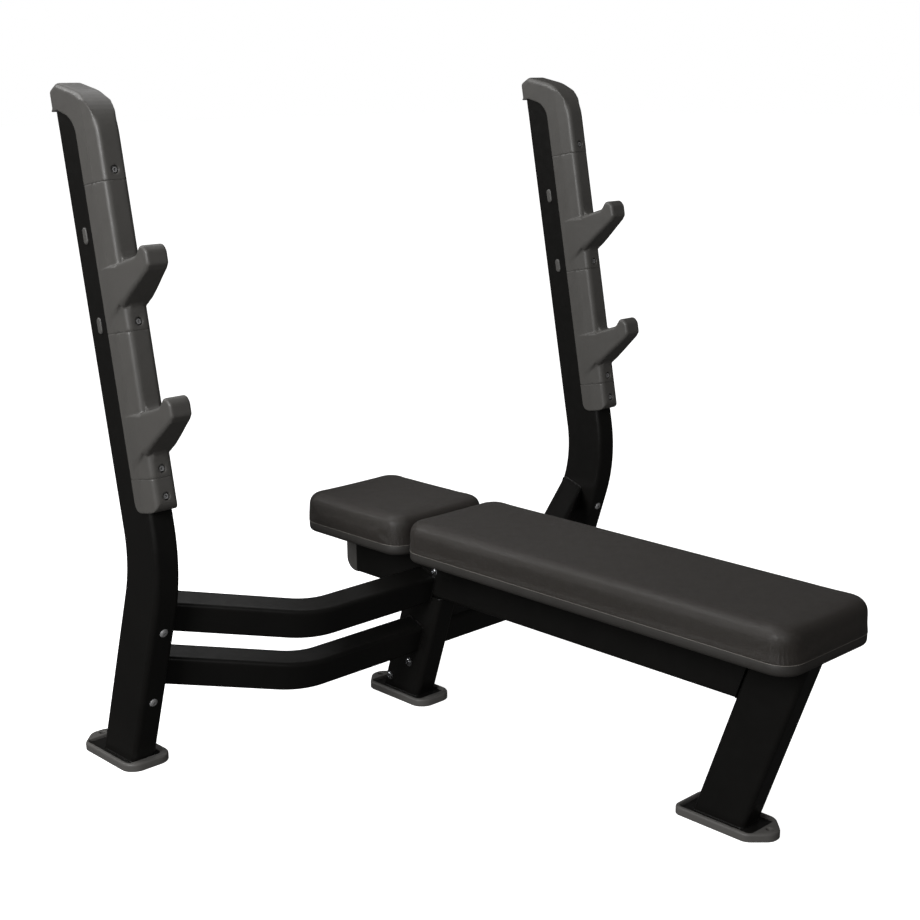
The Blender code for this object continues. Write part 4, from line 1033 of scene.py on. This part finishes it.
def studio():
    floor = raw_object("studio_floor", slab(rectangle(-40, 40, -40, 40, 0.0), -0.02, 0.0))
    look = Look("studio_floor_paint", (0.80, 0.80, 0.80), 0.8, specular=0.1)
    look.tint(look.remap(look.noise(0.8, 3.0), 0.4, 0.7, 0.0, 0.25), (0.78, 0.78, 0.78))
    look.bump(look.noise(60.0, 3.0), 0.0002, 0.1)
    look.shader.inputs["Emission Color"].default_value = (1.0, 1.0, 1.0, 1.0)
    look.shader.inputs["Emission Strength"].default_value = 0.90
    floor.data.materials.append(look.done())
    floor.visible_glossy = False
    floor.visible_diffuse = False
    world = bpy.data.worlds.new("studio")
    scene.world = world
    world.use_nodes = True
    tree = world.node_tree
    seen = tree.nodes["Background"]
    seen.inputs["Color"].default_value = (1.0, 1.0, 1.0, 1.0)
    seen.inputs["Strength"].default_value = 1.0
    ambient = tree.nodes.new("ShaderNodeBackground")
    ambient.inputs["Color"].default_value = (1.0, 0.985, 0.965, 1.0)
    direction = tree.nodes.new("ShaderNodeTexCoord")
    split = tree.nodes.new("ShaderNodeSeparateXYZ")
    height = tree.nodes.new("ShaderNodeMapRange")
    height.inputs["From Min"].default_value = -1.0
    height.inputs["From Max"].default_value = 1.0
    height.inputs["To Min"].default_value = AMBIENT[0]
    height.inputs["To Max"].default_value = AMBIENT[1]
    path = tree.nodes.new("ShaderNodeLightPath")
    glossy = tree.nodes.new("ShaderNodeMix")
    glossy.inputs["B"].default_value = GLOSS_AMBIENT
    choose = tree.nodes.new("ShaderNodeMixShader")
    tree.links.new(direction.outputs["Generated"], split.inputs[0])
    tree.links.new(split.outputs["Z"], height.inputs["Value"])
    tree.links.new(path.outputs["Is Glossy Ray"], glossy.inputs["Factor"])
    tree.links.new(height.outputs["Result"], glossy.inputs["A"])
    tree.links.new(glossy.outputs["Result"], ambient.inputs["Strength"])
    tree.links.new(path.outputs["Is Camera Ray"], choose.inputs["Fac"])
    tree.links.new(ambient.outputs[0], choose.inputs[1])
    tree.links.new(seen.outputs[0], choose.inputs[2])
    tree.links.new(choose.outputs[0], tree.nodes["World Output"].inputs["Surface"])

    def softbox(name, position, target, size, power, size_y=None):
        data = bpy.data.lights.new(name, "AREA")
        data.shape = "RECTANGLE"
        data.size, data.size_y = size, size_y or size
        data.energy = power
        lamp = bpy.data.objects.new(name, data)
        scene.collection.objects.link(lamp)
        lamp.location = position
        lamp.rotation_euler = (Vector(target) - Vector(position)).to_track_quat("-Z", "Y").to_euler()

    softbox("edge_strip", (-1.4, 1.8, 2.75), (-0.2, -0.1, 0.5), 0.5, 34.0, 2.2)
    softbox("left_key", (-3.2, -0.5, 2.1), (-0.4, 0.2, 0.8), 1.4, 92.0)
    softbox("front_fill", (-2.4, -3.0, 1.6), (0.0, 0.0, 0.5), 1.6, 8.0)
    softbox("overhead", (0.1, 0.9, 2.0), (0.0, 0.4, 0.4), 1.2, 6.0)


def camera():
    data = bpy.data.cameras.new("view_camera")
    data.sensor_width = 36.0
    data.lens = 60.34
    data.shift_x, data.shift_y = -0.00193, 0.00606
    data.clip_end = 200.0
    made = bpy.data.objects.new("view_camera", data)
    scene.collection.objects.link(made)
    right, up = Vector((0.72033, -0.69356, -0.01033)), Vector((0.17648, 0.16885, 0.96971))
    forward = Vector((0.67081, 0.70034, -0.24403))
    turn = Matrix((right, up, -forward)).transposed()
    made.matrix_world = Matrix.Translation((-2.01816, -1.89660, 1.25505)) @ turn.to_4x4()
    scene.camera = made


uprights()
legs()
beam()
cross_tubes()
covers()
plugs()
bolts()
feet()
beam_cap()
pads()
studio()
camera()
scene.view_settings.view_transform = "Standard"
